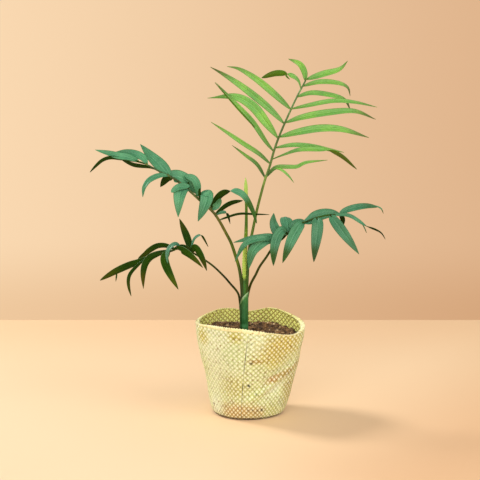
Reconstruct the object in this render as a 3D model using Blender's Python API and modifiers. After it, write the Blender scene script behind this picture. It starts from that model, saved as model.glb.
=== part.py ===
"""Potted parlor palm: a young palm with four fronds and a spear in a soft woven planter.

Metres, +Z up. The origin is the centre of the planter's flat underside, -Y is the front.
Tables are in millimetres, and MM turns them into metres.
"""
import math
from dataclasses import dataclass

import bmesh
import bpy
from mathutils import Vector, noise

MM = 0.001
TOUCH_GAP = 0.3 * MM                  # the clearance that touching pieces keep

# Planter: a soft tapered basket with four soft corners, leaning a little to +X above its base
PLANTER_WALL = 2.0 * MM
PLANTER_SEGMENTS = 56
PLANTER_PROFILE = (                   # height, outer radius
    (0, 38), (1.5, 40.3), (5, 42.6), (12, 45.1), (22, 47.7), (35, 50.1),
    (50, 53.4), (65, 57.4), (80, 60.6), (94, 62.4), (114, 63.4))
BASE_RADIUS = PLANTER_PROFILE[0][1] * MM
PLANTER_LEAN = 2.6 * MM               # how far the axis moves to +X over the lower part
PLANTER_LEAN_TOP = 46 * MM
RIM_HEIGHTS = (                       # degrees from +X, rim height: two humps behind, low at 330
    (0, 101.8), (20, 106.6), (42, 110.6), (66, 111.3), (91, 106.1), (112, 110.6), (132, 112),
    (158, 108), (182, 105.2), (212, 107), (240, 108.6), (262, 109.4), (292, 104.2), (330, 96.6))
RING_HEIGHTS = (0, 1.5, 5, 12, 24, 38, 52, 66, 80)   # rings below the rim
RIM_STEPS = 2                         # rings between the last of those and the rim
SQUARENESS = 0.10                     # how far the four soft faces lie in from the corners
FLATNESS = 0.06                       # how much shallower the planter is from front to back
SQUARE_HEIGHT = 34 * MM               # where both are whole, from a nearly round base
ROUND_BASE = 0.15                     # the share of both at the base
CORNER_ANGLE = math.radians(-92)      # of the front corner at the rim
CORNER_TWIST = math.radians(-10)      # that the corners turn by on the way down
CORNER_TOP = 100 * MM
FOLD_DEPTH = 1.6 * MM                 # the soft diagonal fold on the right front
FOLD_WIDTH = 9 * MM
FOLD_ANGLE = math.radians(-38)
FOLD_HEIGHT = 44 * MM
FOLD_SLOPE = 0.9

# Soil: fills the planter up to a bumpy surface around the stem
SOIL_TOP = 91.5 * MM
SOIL_CROWN = 5.6 * MM                 # how much higher the soil stands at its crown
SOIL_CROWN_RADIUS = 27 * MM
SOIL_CROWN_PLACE = (-20 * MM, 20 * MM)
SOIL_BUMP = 1.6 * MM
SOIL_BUMP_SIZE = 11 * MM
SOIL_CLEARANCE = 2.9 * MM             # from the planter's outer surface to the soil
SOIL_SEGMENTS = PLANTER_SEGMENTS
SOIL_RINGS = 7
SOIL_SIDE_HEIGHTS = (2.4, 7, 14, 26, 40, 54, 68, 82)

# Stem and spear
STEM_X = -4.7 * MM
STEM_PROFILE = (                      # height, radius, x of the axis
    (60, 4.8, -4.7), (95, 4.8, -4.7), (128, 4.7, -4.7), (136, 4.4, -4.6), (142, 3.2, -4.3),
    (150, 2.3, -4.2), (158, 2.1, -4.2))
SPEAR_POINTS = ((-4.2, 0, 158.3), (-4.0, 0.2, 170), (-3.4, 0.4, 190), (-2.4, 0.6, 210),
                (-2.1, 0.8, 232), (-2.4, 1.0, 248), (-2.7, 1.2, 262), (-3.0, 1.3, 271))
SPEAR_RADII = (1.9, 2.0, 1.7, 1.55, 1.5, 1.7, 1.6, 0.35)

# Blades
BLADE_STEPS = 9                       # quads along a blade; two lie across it
BLADE_THICKNESS = 0.7 * MM
BLADE_BASE_WIDTH = 1.7 * MM
BLADE_TIP_WIDTH = 0.6 * MM
BLADE_KEEL = 0.12                     # depth of the folded midrib, as a share of the width
BLADE_TAPER = 0.9                     # how fast a blade narrows to its tip
RACHIS_STEPS = 26
SPLINE_STEPS = 12                     # per span of a table of points

STEM_HOLE_SIDES = 24
STEM_HOLE_RISE = 20 * MM              # how far the cutter stands above the soil
SHARP_ANGLE = math.radians(50)


@dataclass(frozen=True)
class Leaflet:
    """A blade: where it leaves its rachis, and the points that its midrib passes.

    `at` is the frond's spacing coordinate, `face` the way that the upper side looks at the base,
    and `tip_face` the same at the tip where the blade turns over.
    """
    name: str
    at: float
    width: float
    face: tuple
    points: tuple
    tip_face: tuple = None
    widest: float = 0.4


@dataclass(frozen=True)
class Frond:
    """A petiole that runs on as a rachis, with its blades, spaced along one axis of the frame."""
    name: str
    axis: int
    points: tuple
    base_radius: float
    tip_radius: float
    finish: str
    leaflets: tuple


OUTWARD = (-0.15, -1, 0.35)           # upright frond: the blades face the front

UPRIGHT = Frond(
    "upright_frond", 2,
    ((-0.6, -2.8, 147), (-0.7, -2.9, 160), (0, -2.8, 180), (2, -2.2, 196), (5.2, -1, 212), (10, 0.5, 235),
     (15.5, 2, 256.5), (19.6, 4, 270.5), (24.6, 6, 284.5), (28.7, 8, 299.5), (34.3, 10, 315.5),
     (43.4, 13, 336.5), (55.2, 17, 361.5), (65.5, 21, 380.5)),
    1.45, 0.8, "young_leaf",
    (
        Leaflet("left_1", 270, 4.5, OUTWARD, ((10, 1, 286), (-3, -3, 296.5), (-18.5, -8, 308.5))),
        Leaflet("left_2", 286, 6, OUTWARD,
                ((12, 3, 298), (-6, -1, 310), (-24, -5, 322.5), (-42, -9, 334.5)),
                tip_face=(0.1, 0.9, 0.6)),
        Leaflet("left_3", 300, 6, OUTWARD,
                ((20, 6, 311), (5, 3, 333.5), (-11, 0, 351), (-37, -4, 378.5))),
        Leaflet("left_4", 314.5, 11.5, OUTWARD,
                ((20.2, 9, 332.5), (4.5, 7, 351.5), (-15.5, 4, 361.6), (-46, 0, 359.2))),
        Leaflet("left_5", 331, 8.5, OUTWARD,
                ((21, 14, 350.5), (-6, 13, 372), (-27, 11, 386), (-43, 8, 395))),
        Leaflet("left_6", 347, 8, OUTWARD,
                ((31, 13, 363), (10, 10, 380.5), (-10, 7, 392.5), (-24, 5, 395.5))),
        Leaflet("left_7", 370, 7, OUTWARD,
                ((56.3, 19.5, 380.5), (46.5, 20, 386.5), (32, 20, 389), (14.5, 19, 382.8)),
                tip_face=(0, 1, 0.6), widest=0.55),
        Leaflet("left_8", 379, 7, OUTWARD, ((63.5, 20, 389), (57.8, 18, 398), (45, 16, 403.8))),
        Leaflet("right_1", 272, 4.5, OUTWARD,
                ((31, 1, 283), (47, -3, 283.5), (64, -6, 288), (90, -9, 291.5))),
        Leaflet("right_2", 291, 5, OUTWARD,
                ((45, 2, 298), (65, -2, 303.5), (86, -5, 303.3), (108, -7, 293.3), (123, -8, 281)),
                tip_face=(0.4, 0.7, 0.5)),
        Leaflet("right_3", 304, 5.5, OUTWARD,
                ((50, 7, 307.5), (70, 5, 306.5), (90, 3, 303), (108, 1, 299.5))),
        Leaflet("right_4", 316, 9, OUTWARD,
                ((56, 8, 322), (81, 5, 326.4), (106, 3, 325.2), (136, 1, 316))),
        Leaflet("right_5", 332, 8, OUTWARD,
                ((61, 12, 338.5), (91, 10, 344), (120, 9, 345.5), (144, 8, 336))),
        Leaflet("right_6", 347.5, 5.5, OUTWARD,
                ((66, 12, 351.5), (95, 9, 357), (120, 7, 355.5), (145, 5, 350))),
        Leaflet("right_7", 361, 6, OUTWARD,
                ((71, 20, 365.5), (91, 21, 363.5), (109, 21, 358), (116, 20, 346))),
        Leaflet("right_8", 373, 6, OUTWARD,
                ((80, 17, 378), (100, 15, 377), (112, 14, 372), (115, 13, 362))),
        Leaflet("right_9", 400, 7.5, OUTWARD, ((85, 22, 386.7), (103, 22, 392), (112.5, 21, 401.5))),
    ))

HIGH_LEFT = Frond(
    "high_left_frond", 0,
    ((-8.5, -3.6, 141.5), (-7.6, -2.9, 150), (-8.4, -3, 160), (-10.5, -3.5, 170.5), (-13.7, -4.2, 180.5),
     (-19.8, -6, 201), (-25, -7, 211), (-33.4, -9, 223), (-41, -11, 234), (-52.6, -14, 245.5),
     (-66.7, -17, 259), (-82, -20, 272), (-98.7, -23, 280.5), (-112, -25, 288), (-121, -27, 292)),
    1.6, 0.8, "mature_leaf",
    (
        Leaflet("terminal", -130, 7.5, (0, -0.5, 1),
                ((-133, -29, 297.5), (-147, -31, 301.5), (-169, -33, 305))),
        Leaflet("back_1", -112, 6, (0, -0.6, 1),
                ((-120, -21, 297), (-133, -18, 302.3), (-147, -16, 301))),
        Leaflet("front_1", -116, 4.5, (-0.4, 0.6, 0.8),
                ((-134, -33, 292.5), (-151, -38, 296.5), (-166, -40, 291), (-174.6, -41, 281))),
        Leaflet("back_2", -91, 15, (0.3, -0.8, 0.5),
                ((-97, -15, 287.5), (-107, -9, 296.5), (-121.5, -1, 309)),
                widest=0.35),
        Leaflet("back_3", -100, 5, (0, 0.5, 1), ((-110, -18, 284), (-124, -12, 287), (-143, -6, 292))),
        Leaflet("front_2", -90, 6, (-0.3, -0.7, 0.7),
                ((-96, -29, 277), (-108, -34, 273.5), (-115.5, -38, 264.5), (-117, -40, 256.5))),
        Leaflet("back_4", -86, 7, (-0.5, 0.8, 0.3), ((-91, -16, 269), (-98.5, -14, 262))),
        Leaflet("back_5", -82, 12, (0.2, -0.8, 0.6),
                ((-81, -14, 278), (-72.5, -9, 276.3), (-61, -6, 265.5), (-57.3, -5, 251)),
                tip_face=(0.5, -0.85, 0)),
        Leaflet("front_3", -67, 17, (-0.3, -0.5, 0.8),
                ((-68.5, -25, 264), (-75, -31, 262.5), (-78, -35, 249), (-78, -37, 231)),
                tip_face=(-0.1, -1, 0.1), widest=0.35),
        Leaflet("front_4", -53, 13, (0, -0.3, 1),
                ((-50, -19, 255), (-45.5, -26, 253.5), (-47, -30, 243), (-56, -32, 225.5)),
                tip_face=(0, -1, 0.2)),
        Leaflet("back_6", -42, 8.5, (-0.4, 0.5, 0.6),
                ((-35.5, -13, 247.5), (-25, -16, 258.3), (-11.5, -18, 259.3), (1.5, -19, 243),
                 (10, -18, 220.5)), tip_face=(0.4, -1, 0.4)),
        Leaflet("back_7", -37.5, 5, (-0.4, 0.7, 0.6),
                ((-28, -8, 236.8), (-18.5, -5, 243), (-6, -3, 246))),
        Leaflet("back_8", -33, 3, (0, 0.5, 0.87),
                ((-26, -10, 226.5), (-10, -11, 231.3), (8, -12, 231), (24, -12, 230.6))),
    ))

LOW_LEFT = Frond(
    "low_left_frond", 0,
    ((-9.6, 4.1, 119), (-9.7, 4.2, 130), (-11, 5, 136.5), (-15, 7, 142.3), (-20.4, 9, 148),
     (-27.1, 11, 155.6), (-41.3, 15, 168.5), (-57.6, 20, 179), (-71, 24, 186.3), (-81, 27, 187.3),
     (-91.6, 30, 184), (-102, 33, 181.5), (-112.3, 36, 178.3), (-120.5, 38, 175)),
    1.3, 0.75, "shaded_leaf",
    (
        Leaflet("terminal", -130, 8.5, (-0.2, 0.9, 0.5),
                ((-133, 39, 168.5), (-153.7, 41, 159.5), (-173.3, 42, 146.5))),
        Leaflet("front_1", -118, 4.5, (-0.6, 0.8, 0.2),
                ((-131.5, 33, 162.5), (-138, 30, 150), (-135, 28, 131.7))),
        Leaflet("front_2", -112, 7, (-0.4, 0.9, 0),
                ((-118, 33, 169.5), (-120.7, 29, 157.5), (-121, 27, 141))),
        Leaflet("front_3", -95, 9, (0, 1, 0), ((-97.5, 27, 171), (-92, 23, 159), (-80.5, 20, 139))),
        Leaflet("back_1", -86, 5.5, (-0.2, 0.6, 0.8),
                ((-98, 38, 189.3), (-110.5, 46, 186.8), (-118.5, 50, 178.5), (-127, 52, 171))),
        Leaflet("front_4", -83, 4.5, (-0.3, -0.6, 0.8),
                ((-86, 21.5, 190), (-91, 17, 186), (-92.3, 15, 178), (-91.5, 14, 170.5))),
        Leaflet("front_5", -77.5, 11, (0.3, 0.8, 0.4),
                ((-73.5, 19.5, 187.5), (-65, 15, 178.5), (-52, 11, 167)),
                widest=0.35),
        Leaflet("back_2", -64, 9, (-0.3, 0.9, -0.1),
                ((-66, 27, 193), (-71.5, 33, 204.5), (-79.7, 38, 219.5))),
        Leaflet("front_6", -61.5, 7.5, (0.4, 0.7, 0.4),
                ((-59.5, 16.5, 187.5), (-54.6, 12, 183), (-50, 9, 174.5), (-47.2, 8, 164.6)), widest=0.5),
    ))

RIGHT = Frond(
    "right_frond", 0,
    ((-0.4, 4.3, 133), (0.2, 4.3, 139), (1.6, 4.2, 144.8), (3.9, 4, 150.8), (8.4, 3.5, 159),
     (13.1, 3, 169), (20.5, 2, 179.7), (26.3, 1, 189.3), (33, 0, 198), (45, -2, 207.6),
     (57, -4, 218.5), (65.6, -6, 221.8), (74.5, -8, 226), (84.4, -10, 228.8), (94, -12, 230.5),
     (104, -14, 230.3)),
    1.4, 0.75, "mature_leaf",
    (
        Leaflet("terminal", 110, 8, (0.1, -0.7, 0.7),
                ((114, -12, 236), (131, -10, 239.8), (145, -9, 239), (152, -8, 235)), widest=0.45),
        Leaflet("front_1", 98, 4, (0.2, -0.5, 0.9),
                ((109, -20, 228.5), (129.5, -21, 220.5), (148, -22, 211.5), (154, -23, 204.5)),
                tip_face=(0.3, 0.4, 0.9)),
        Leaflet("front_2", 92, 12.5, (-0.1, -1, 0.2),
                ((97, -17, 223.5), (105.5, -22, 213.5), (115, -27, 201.5), (124, -31, 189))),
        Leaflet("front_3", 76, 13.5, (0, -1, 0.3),
                ((78, -16, 220), (77.5, -22, 208), (75.5, -27, 195), (73, -31, 180.5))),
        Leaflet("front_4", 60, 13, (0.1, -1, 0.3),
                ((55.5, -12, 214.5), (51, -17, 206), (45, -22, 193.5), (38.7, -27, 179))),
        Leaflet("front_5", 42, 10.5, (0.1, -0.8, 0.6),
                ((37.5, -9, 212.5), (31.5, -14, 204), (29, -18, 191), (28.5, -21, 174.5)),
                tip_face=(0, -1, 0.2)),
        Leaflet("back_1", 66, 9, (0, -0.7, 0.7),
                ((73, -3, 229), (82, 1, 233), (92, 3, 233), (103, 4, 229.5))),
        Leaflet("back_2", 50, 11, (0, -0.7, 0.7), ((51.5, 3, 217.5), (59, 6, 221), (68, 7, 220))),
        Leaflet("back_3", 46, 14, (0, -0.5, 1),
                ((44.5, 5, 217), (43, 15, 222.3), (43, 25, 223), (43.5, 32, 218))),
        Leaflet("back_4", 37, 10, (-0.2, -1, 0.2), ((31, 6, 211), (28.5, 9, 220), (29.2, 11, 228.6))),
        Leaflet("front_6", 36, 7, (0, -0.6, 0.8),
                ((27, -4, 206.5), (14, -8, 206), (0, -11, 205), (-18, -13, 199)),
                widest=0.35),
        Leaflet("front_7", 33, 6, (0, -0.7, 0.7),
                ((19, -9, 202), (4.5, -15, 199.5), (-7.5, -18, 191), (-15.4, -19, 176))),
        Leaflet("front_8", 30, 12, (0.1, -0.9, 0.3),
                ((20, -5, 198), (9, -9, 193), (3, -12, 184), (0.4, -13, 171))),
    ))

FRONDS = (UPRIGHT, HIGH_LEFT, LOW_LEFT, RIGHT)

FINISHES = {                          # base colour, roughness
    "woven_palm_strip": ((0.78, 0.74, 0.38), 0.7),
    "potting_soil": ((0.06, 0.03, 0.015), 0.95),
    "green_stem": ((0.05, 0.14, 0.04), 0.45),
    "young_petiole": ((0.16, 0.28, 0.04), 0.45),
    "spear_leaf": ((0.42, 0.62, 0.12), 0.45),
    "young_leaf": ((0.18, 0.42, 0.08), 0.4),
    "mature_leaf": ((0.10, 0.34, 0.20), 0.4),
    "shaded_leaf": ((0.03, 0.10, 0.02), 0.4),
}


def catmull_rom(points):
    """Points along a smooth curve through `points`."""
    first = points[0] + (points[0] - points[1])
    last = points[-1] + (points[-1] - points[-2])
    ends = [first, *points, last]
    curve = []
    for a, b, c, d in zip(ends, ends[1:], ends[2:], ends[3:]):
        for step in range(SPLINE_STEPS):
            t = step / SPLINE_STEPS
            curve.append(0.5 * (2 * b + (c - a) * t + (2 * a - 5 * b + 4 * c - d) * t ** 2
                                + (3 * b - a - 3 * c + d) * t ** 3))
    curve.append(points[-1].copy())
    return curve


def along(curve, distance):
    """The point of a polyline at a distance from its start."""
    for a, b in zip(curve, curve[1:]):
        length = (b - a).length
        if distance <= length:
            return a.lerp(b, distance / length)
        distance -= length
    return curve[-1].copy()


def polyline_length(curve):
    """The length of a polyline."""
    return sum((b - a).length for a, b in zip(curve, curve[1:]))


def even_points(points, steps):
    """`steps` + 1 evenly spaced points on the smooth curve through a table of millimetre points."""
    curve = catmull_rom([Vector(p) * MM for p in points])
    length = polyline_length(curve)
    return [along(curve, length * i / steps) for i in range(steps + 1)]


def smooth_lookup(pairs, value):
    """Read a table of (place, value) pairs at `value`, eased between its rows."""
    if value <= pairs[0][0]:
        return pairs[0][1]
    rows = [pairs[0], *pairs, pairs[-1]]
    for before, low, high, after in zip(rows, rows[1:], rows[2:], rows[3:]):
        if value <= high[0]:
            span = high[0] - low[0]
            t = (value - low[0]) / span
            slope_low = (high[1] - before[1]) / (high[0] - before[0]) * span
            slope_high = (after[1] - low[1]) / (after[0] - low[0]) * span
            return ((2 * t ** 3 - 3 * t ** 2 + 1) * low[1] + (t ** 3 - 2 * t ** 2 + t) * slope_low
                    + (3 * t ** 2 - 2 * t ** 3) * high[1] + (t ** 3 - t ** 2) * slope_high)
    return pairs[-1][1]


def rim_height(angle):
    """The height of the planter's rim at an angle around it."""
    wrapped = [(a - 360, h) for a, h in RIM_HEIGHTS[-2:]] + list(RIM_HEIGHTS)
    wrapped += [(a + 360, h) for a, h in RIM_HEIGHTS[:2]]
    return smooth_lookup(wrapped, math.degrees(angle) % 360) * MM


def planter_point(angle, height, inset=0.0):
    """A point of the planter's outer surface, moved in by `inset`."""
    corner = CORNER_ANGLE + CORNER_TWIST * max(0.0, 1 - height / CORNER_TOP)
    square = ROUND_BASE + (1 - ROUND_BASE) * min(1.0, height / SQUARE_HEIGHT)
    radius = smooth_lookup(PLANTER_PROFILE, height / MM) * MM
    radius *= 1 - square * SQUARENESS * (1 - math.cos(4 * (angle - corner))) / 2
    radius *= 1 - square * FLATNESS * math.sin(angle) ** 2
    around = math.remainder(angle - FOLD_ANGLE, math.tau) * radius
    off_fold = around * FOLD_SLOPE - (height - FOLD_HEIGHT)
    radius -= FOLD_DEPTH * math.exp(-(off_fold / FOLD_WIDTH) ** 2) * min(1.0, height / FOLD_HEIGHT)
    lean = PLANTER_LEAN * min(1.0, height / PLANTER_LEAN_TOP)
    radius -= inset
    return Vector((lean + radius * math.cos(angle), radius * math.sin(angle), height))


def finish(name):
    """The Principled material of a named finish, made once."""
    material = bpy.data.materials.get(name)
    if material is None:
        colour, roughness = FINISHES[name]
        material = bpy.data.materials.new(name)
        material.use_nodes = True
        shader = material.node_tree.nodes["Principled BSDF"]
        shader.inputs["Base Color"].default_value = (*colour, 1.0)
        shader.inputs["Roughness"].default_value = roughness
        shader.inputs["Metallic"].default_value = 0.0
        material.diffuse_color = (*colour, 1.0)
    return material


def add_object(name, data, collection, finish_name=None):
    """Link a new object to a collection and give it its finish."""
    obj = bpy.data.objects.new(name, data)
    collection.objects.link(obj)
    if finish_name:
        data.materials.append(finish(finish_name))
    return obj


def mesh_from(bm, name):
    """A smooth-shaded mesh from a bmesh, which is freed."""
    mesh = bpy.data.meshes.new(name)
    bm.to_mesh(mesh)
    bm.free()
    mesh.shade_smooth()
    mesh.set_sharp_from_angle(angle=SHARP_ANGLE)
    return mesh


def thicken(obj, thickness, offset):
    """Give an open surface its thickness."""
    solidify = obj.modifiers.new("thickness", "SOLIDIFY")
    solidify.thickness = thickness
    solidify.offset = offset
    solidify.use_even_offset = offset != 0


def add_ring(bm, ring, place):
    """Extrude an open ring of edges and put each new vertex where `place` says, by its angle."""
    extruded = bmesh.ops.extrude_edge_only(bm, edges=ring)["geom"]
    new_ring = [item for item in extruded if isinstance(item, bmesh.types.BMEdge)]
    for vertex in {v for edge in new_ring for v in edge.verts}:
        centre_x = PLANTER_LEAN * min(1.0, vertex.co.z / PLANTER_LEAN_TOP)
        vertex.co = place(math.atan2(vertex.co.y, vertex.co.x - centre_x))
    return new_ring


def build_planter(collection):
    """The basket: a flat disc, extruded ring by ring up to the rim, with its wall turned inwards."""
    bm = bmesh.new()
    disc = bmesh.ops.create_circle(bm, cap_ends=True, segments=PLANTER_SEGMENTS, radius=BASE_RADIUS)
    for vertex in disc["verts"]:
        vertex.co = planter_point(math.atan2(vertex.co.y, vertex.co.x), 0.0)
    ring = bm.edges[:]
    for height in RING_HEIGHTS[1:]:
        ring = add_ring(bm, ring, lambda angle, h=height * MM: planter_point(angle, h))
    last = RING_HEIGHTS[-1] * MM
    for step in range(1, RIM_STEPS + 1):
        def between(angle, share=step / RIM_STEPS):
            return planter_point(angle, last + (rim_height(angle) - last) * share)

        ring = add_ring(bm, ring, between)
    bmesh.ops.recalc_face_normals(bm, faces=bm.faces[:])
    planter = add_object("woven_planter", mesh_from(bm, "woven_planter"), collection, "woven_palm_strip")
    thicken(planter, PLANTER_WALL, -1)


def soil_height(point):
    """The bumpy height of the soil's surface at a place."""
    off_crown = (point.xy - Vector(SOIL_CROWN_PLACE)).length
    crown = SOIL_CROWN * math.exp(-(off_crown / SOIL_CROWN_RADIUS) ** 2)
    return SOIL_TOP + crown + SOIL_BUMP * noise.noise(point.xy.to_3d() / SOIL_BUMP_SIZE)


def build_soil(collection, cutters):
    """The soil: rings up inside the wall, then rings inwards over the top, cut where the stem goes in."""
    bm = bmesh.new()
    bottom = bmesh.ops.create_circle(bm, cap_ends=True, segments=SOIL_SEGMENTS, radius=BASE_RADIUS)
    low = SOIL_SIDE_HEIGHTS[0] * MM

    def side(angle, height):
        point = planter_point(angle, max(0.0, height - PLANTER_WALL), SOIL_CLEARANCE)
        point.z = height
        return point

    for vertex in bottom["verts"]:
        vertex.co = side(math.atan2(vertex.co.y, vertex.co.x), low)
    ring = bm.edges[:]
    for height in SOIL_SIDE_HEIGHTS[1:]:
        ring = add_ring(bm, ring, lambda angle, h=height * MM: side(angle, h))

    def surface(angle, share):
        edge = side(angle, SOIL_TOP)
        centre = Vector((PLANTER_LEAN, 0, 0))
        point = centre.lerp(edge, share)
        point.z = soil_height(point)
        return point

    for step in range(SOIL_RINGS, 0, -1):
        ring = add_ring(bm, ring, lambda angle, s=step / SOIL_RINGS: surface(angle, s))
    bmesh.ops.edgeloop_fill(bm, edges=ring)
    bmesh.ops.recalc_face_normals(bm, faces=bm.faces[:])
    soil = add_object("potting_soil", mesh_from(bm, "potting_soil"), collection, "potting_soil")

    hole = bmesh.new()
    low, top = STEM_PROFILE[0][0] * MM - TOUCH_GAP, SOIL_TOP + STEM_HOLE_RISE
    radius = (STEM_PROFILE[0][1] * MM + TOUCH_GAP) / math.cos(math.pi / STEM_HOLE_SIDES)
    bmesh.ops.create_cone(hole, cap_ends=True, segments=STEM_HOLE_SIDES, radius1=radius, radius2=radius,
                          depth=top - low)
    bmesh.ops.translate(hole, vec=(STEM_X, 0, (top + low) / 2), verts=hole.verts[:])
    cutter = add_object("stem_hole", mesh_from(hole, "stem_hole"), cutters)
    cutter.hide_render = True
    cutter.display_type = "WIRE"
    cut = soil.modifiers.new("stem hole", "BOOLEAN")
    cut.operation = "DIFFERENCE"
    cut.object = cutter


def build_tube(name, points, radii, collection, finish_name, resolution=2):
    """A round stalk along evenly spaced points, with its radius at each of them."""
    curve = bpy.data.curves.new(name, "CURVE")
    curve.dimensions = "3D"
    curve.bevel_depth = max(radii)
    curve.bevel_resolution = resolution
    curve.use_fill_caps = True
    spline = curve.splines.new("POLY")
    spline.points.add(len(points) - 1)
    for control, point, radius in zip(spline.points, points, radii):
        control.co = (*point, 1.0)
        control.radius = radius / curve.bevel_depth
    spline.use_smooth = True
    return add_object(name, curve, collection, finish_name)


def build_stem_and_spear(collection):
    """The sheathed stem and the closed leaf that stands in its mouth."""
    stem_points = [Vector((x, 0, z)) * MM for z, _, x in STEM_PROFILE]
    build_tube("stem", stem_points, [r * MM for _, r, _ in STEM_PROFILE], collection, "green_stem", 4)
    spear_points = [Vector(p) * MM for p in SPEAR_POINTS]
    build_tube("spear_leaf", spear_points, [r * MM for r in SPEAR_RADII], collection, "spear_leaf")


def rachis_at(curve, axis, place):
    """Where a rachis passes a value of its spacing axis: the point, its direction and its share."""
    for i in range(len(curve) - 1, 0, -1):
        a, b = curve[i - 1], curve[i]
        if min(a[axis], b[axis]) <= place <= max(a[axis], b[axis]):
            t = (place - a[axis]) / (b[axis] - a[axis])
            return a.lerp(b, t), (b - a).normalized(), (i - 1 + t) / (len(curve) - 1)
    return curve[-1].copy(), (curve[-1] - curve[-2]).normalized(), 1.0


def half_width(share, width, widest):
    """Half the width of a lance-shaped blade at a share of its length."""
    rise = BLADE_TAPER * widest / (1 - widest)
    lance = (share / widest) ** rise * ((1 - share) / (1 - widest)) ** BLADE_TAPER
    stalk = BLADE_BASE_WIDTH + (BLADE_TIP_WIDTH - BLADE_BASE_WIDTH) * share
    return 0.5 * math.hypot(width * lance, stalk)


def build_blade(name, leaflet, root, rachis_direction, rachis_radius, at_end, collection, finish_name):
    """A blade: a grid laid along the midrib, folded at its keel, seated just off the rachis."""
    points = [Vector(p) * MM for p in leaflet.points]
    face = Vector(leaflet.face).normalized()
    tip_face = Vector(leaflet.tip_face or leaflet.face).normalized()
    away = (points[0] - root).normalized()
    out, reach = rachis_direction, TOUCH_GAP
    if not at_end:
        out = (away - away.dot(rachis_direction) * rachis_direction).normalized()
        reach += rachis_radius
    upper = (face - face.dot(away) * away).normalized()
    reach += 0.5 * BLADE_BASE_WIDTH * abs(upper.cross(away).dot(out))
    reach += 0.5 * BLADE_THICKNESS * abs(upper.dot(out))
    curve = catmull_rom([root + out * reach, *points])
    length = polyline_length(curve)

    bm = bmesh.new()
    bmesh.ops.create_grid(bm, x_segments=BLADE_STEPS, y_segments=2, size=0.5)
    for vertex in bm.verts:
        share, side = vertex.co.x + 0.5, 2 * vertex.co.y
        distance = length * share
        midrib = along(curve, distance)
        forward = (along(curve, distance + MM) - along(curve, max(0.0, distance - MM))).normalized()
        facing = face.lerp(tip_face, share)
        upper = (facing - facing.dot(forward) * forward).normalized()
        half = half_width(share, leaflet.width * MM, leaflet.widest)
        keel = BLADE_KEEL * half * (abs(side) - 0.5) * 2
        vertex.co = midrib + upper.cross(forward) * (side * half) + upper * keel
    blade = add_object(name, mesh_from(bm, name), collection, finish_name)
    thicken(blade, BLADE_THICKNESS, 0)


def build_frond(frond, collection):
    """A petiole with its rachis, and every blade on it."""
    curve = even_points(frond.points, RACHIS_STEPS)
    last = len(curve) - 1

    def radius(share):
        return (frond.base_radius + (frond.tip_radius - frond.base_radius) * share) * MM

    build_tube(frond.name + "_rachis", curve, [radius(i / last) for i in range(last + 1)], collection,
               "young_petiole")
    for leaflet in frond.leaflets:
        root, direction, share = rachis_at(curve, frond.axis, leaflet.at * MM)
        build_blade(f"{frond.name}_leaflet_{leaflet.name}", leaflet, root, direction, radius(share),
                    share == 1.0, collection, frond.finish)


def clear_scene():
    """Remove what the scene holds."""
    for obj in list(bpy.data.objects):
        bpy.data.objects.remove(obj, do_unlink=True)


def main():
    """Build the planter, the soil, the stem and the four fronds."""
    clear_scene()
    palm = bpy.data.collections.new("potted_parlor_palm")
    cutters = bpy.data.collections.new("cutters")
    for collection in (palm, cutters):
        bpy.context.scene.collection.children.link(collection)
    build_planter(palm)
    build_soil(palm, cutters)
    build_stem_and_spear(palm)
    for frond in FRONDS:
        build_frond(frond, palm)


main()
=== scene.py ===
"""The looks of the potted parlor palm: plaited planter, potting soil, sheathed stem and four fronds.

Metres, +Z up, -Y is the front. Tables are in millimetres, and MM turns them into metres.
"""
from __future__ import annotations

import logging
import math
import random
from contextlib import contextmanager
from dataclasses import dataclass, field
from enum import Enum
from typing import Callable, Iterator, Sequence

import bmesh
import bpy
from mathutils import Matrix, Vector, noise
from mathutils.bvhtree import BVHTree


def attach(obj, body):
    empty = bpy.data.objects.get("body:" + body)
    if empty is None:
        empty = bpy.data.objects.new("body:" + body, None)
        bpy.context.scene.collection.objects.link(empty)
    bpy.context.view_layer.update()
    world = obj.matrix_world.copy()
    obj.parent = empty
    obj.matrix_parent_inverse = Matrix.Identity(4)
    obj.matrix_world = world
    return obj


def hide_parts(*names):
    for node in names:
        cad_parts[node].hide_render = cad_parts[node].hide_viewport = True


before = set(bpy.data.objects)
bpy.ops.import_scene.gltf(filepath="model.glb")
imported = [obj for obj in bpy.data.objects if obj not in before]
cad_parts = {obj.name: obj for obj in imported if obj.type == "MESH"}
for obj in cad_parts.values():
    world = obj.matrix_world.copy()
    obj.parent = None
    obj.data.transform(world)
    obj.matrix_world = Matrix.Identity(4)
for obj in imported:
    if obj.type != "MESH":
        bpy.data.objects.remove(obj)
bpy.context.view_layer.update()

LOG = logging.getLogger("parlor_palm")
MM = 0.001
EPSILON = 1e-6
NOISE_SEED = 1                           # left alone, noise_vector starts from the clock
GROOVE_EDGE = 0.6                        # how far up a stalk's side its channel starts
Colour = tuple[float, float, float]


# --- modelling -----------------------------------------------------------------------------------

def clamped(value: float) -> float:
    """A value kept between 0 and 1."""
    return max(0.0, min(1.0, value))


def bell(off: float, width: float) -> float:
    """A swell of 1 in the middle that fades with the distance from it."""
    return math.exp(-(off / width) ** 2)


def linked(name: str, data: bpy.types.ID) -> bpy.types.Object:
    """A new object in the scene."""
    thing = bpy.data.objects.new(name, data)
    bpy.context.scene.collection.objects.link(thing)
    return thing


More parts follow.
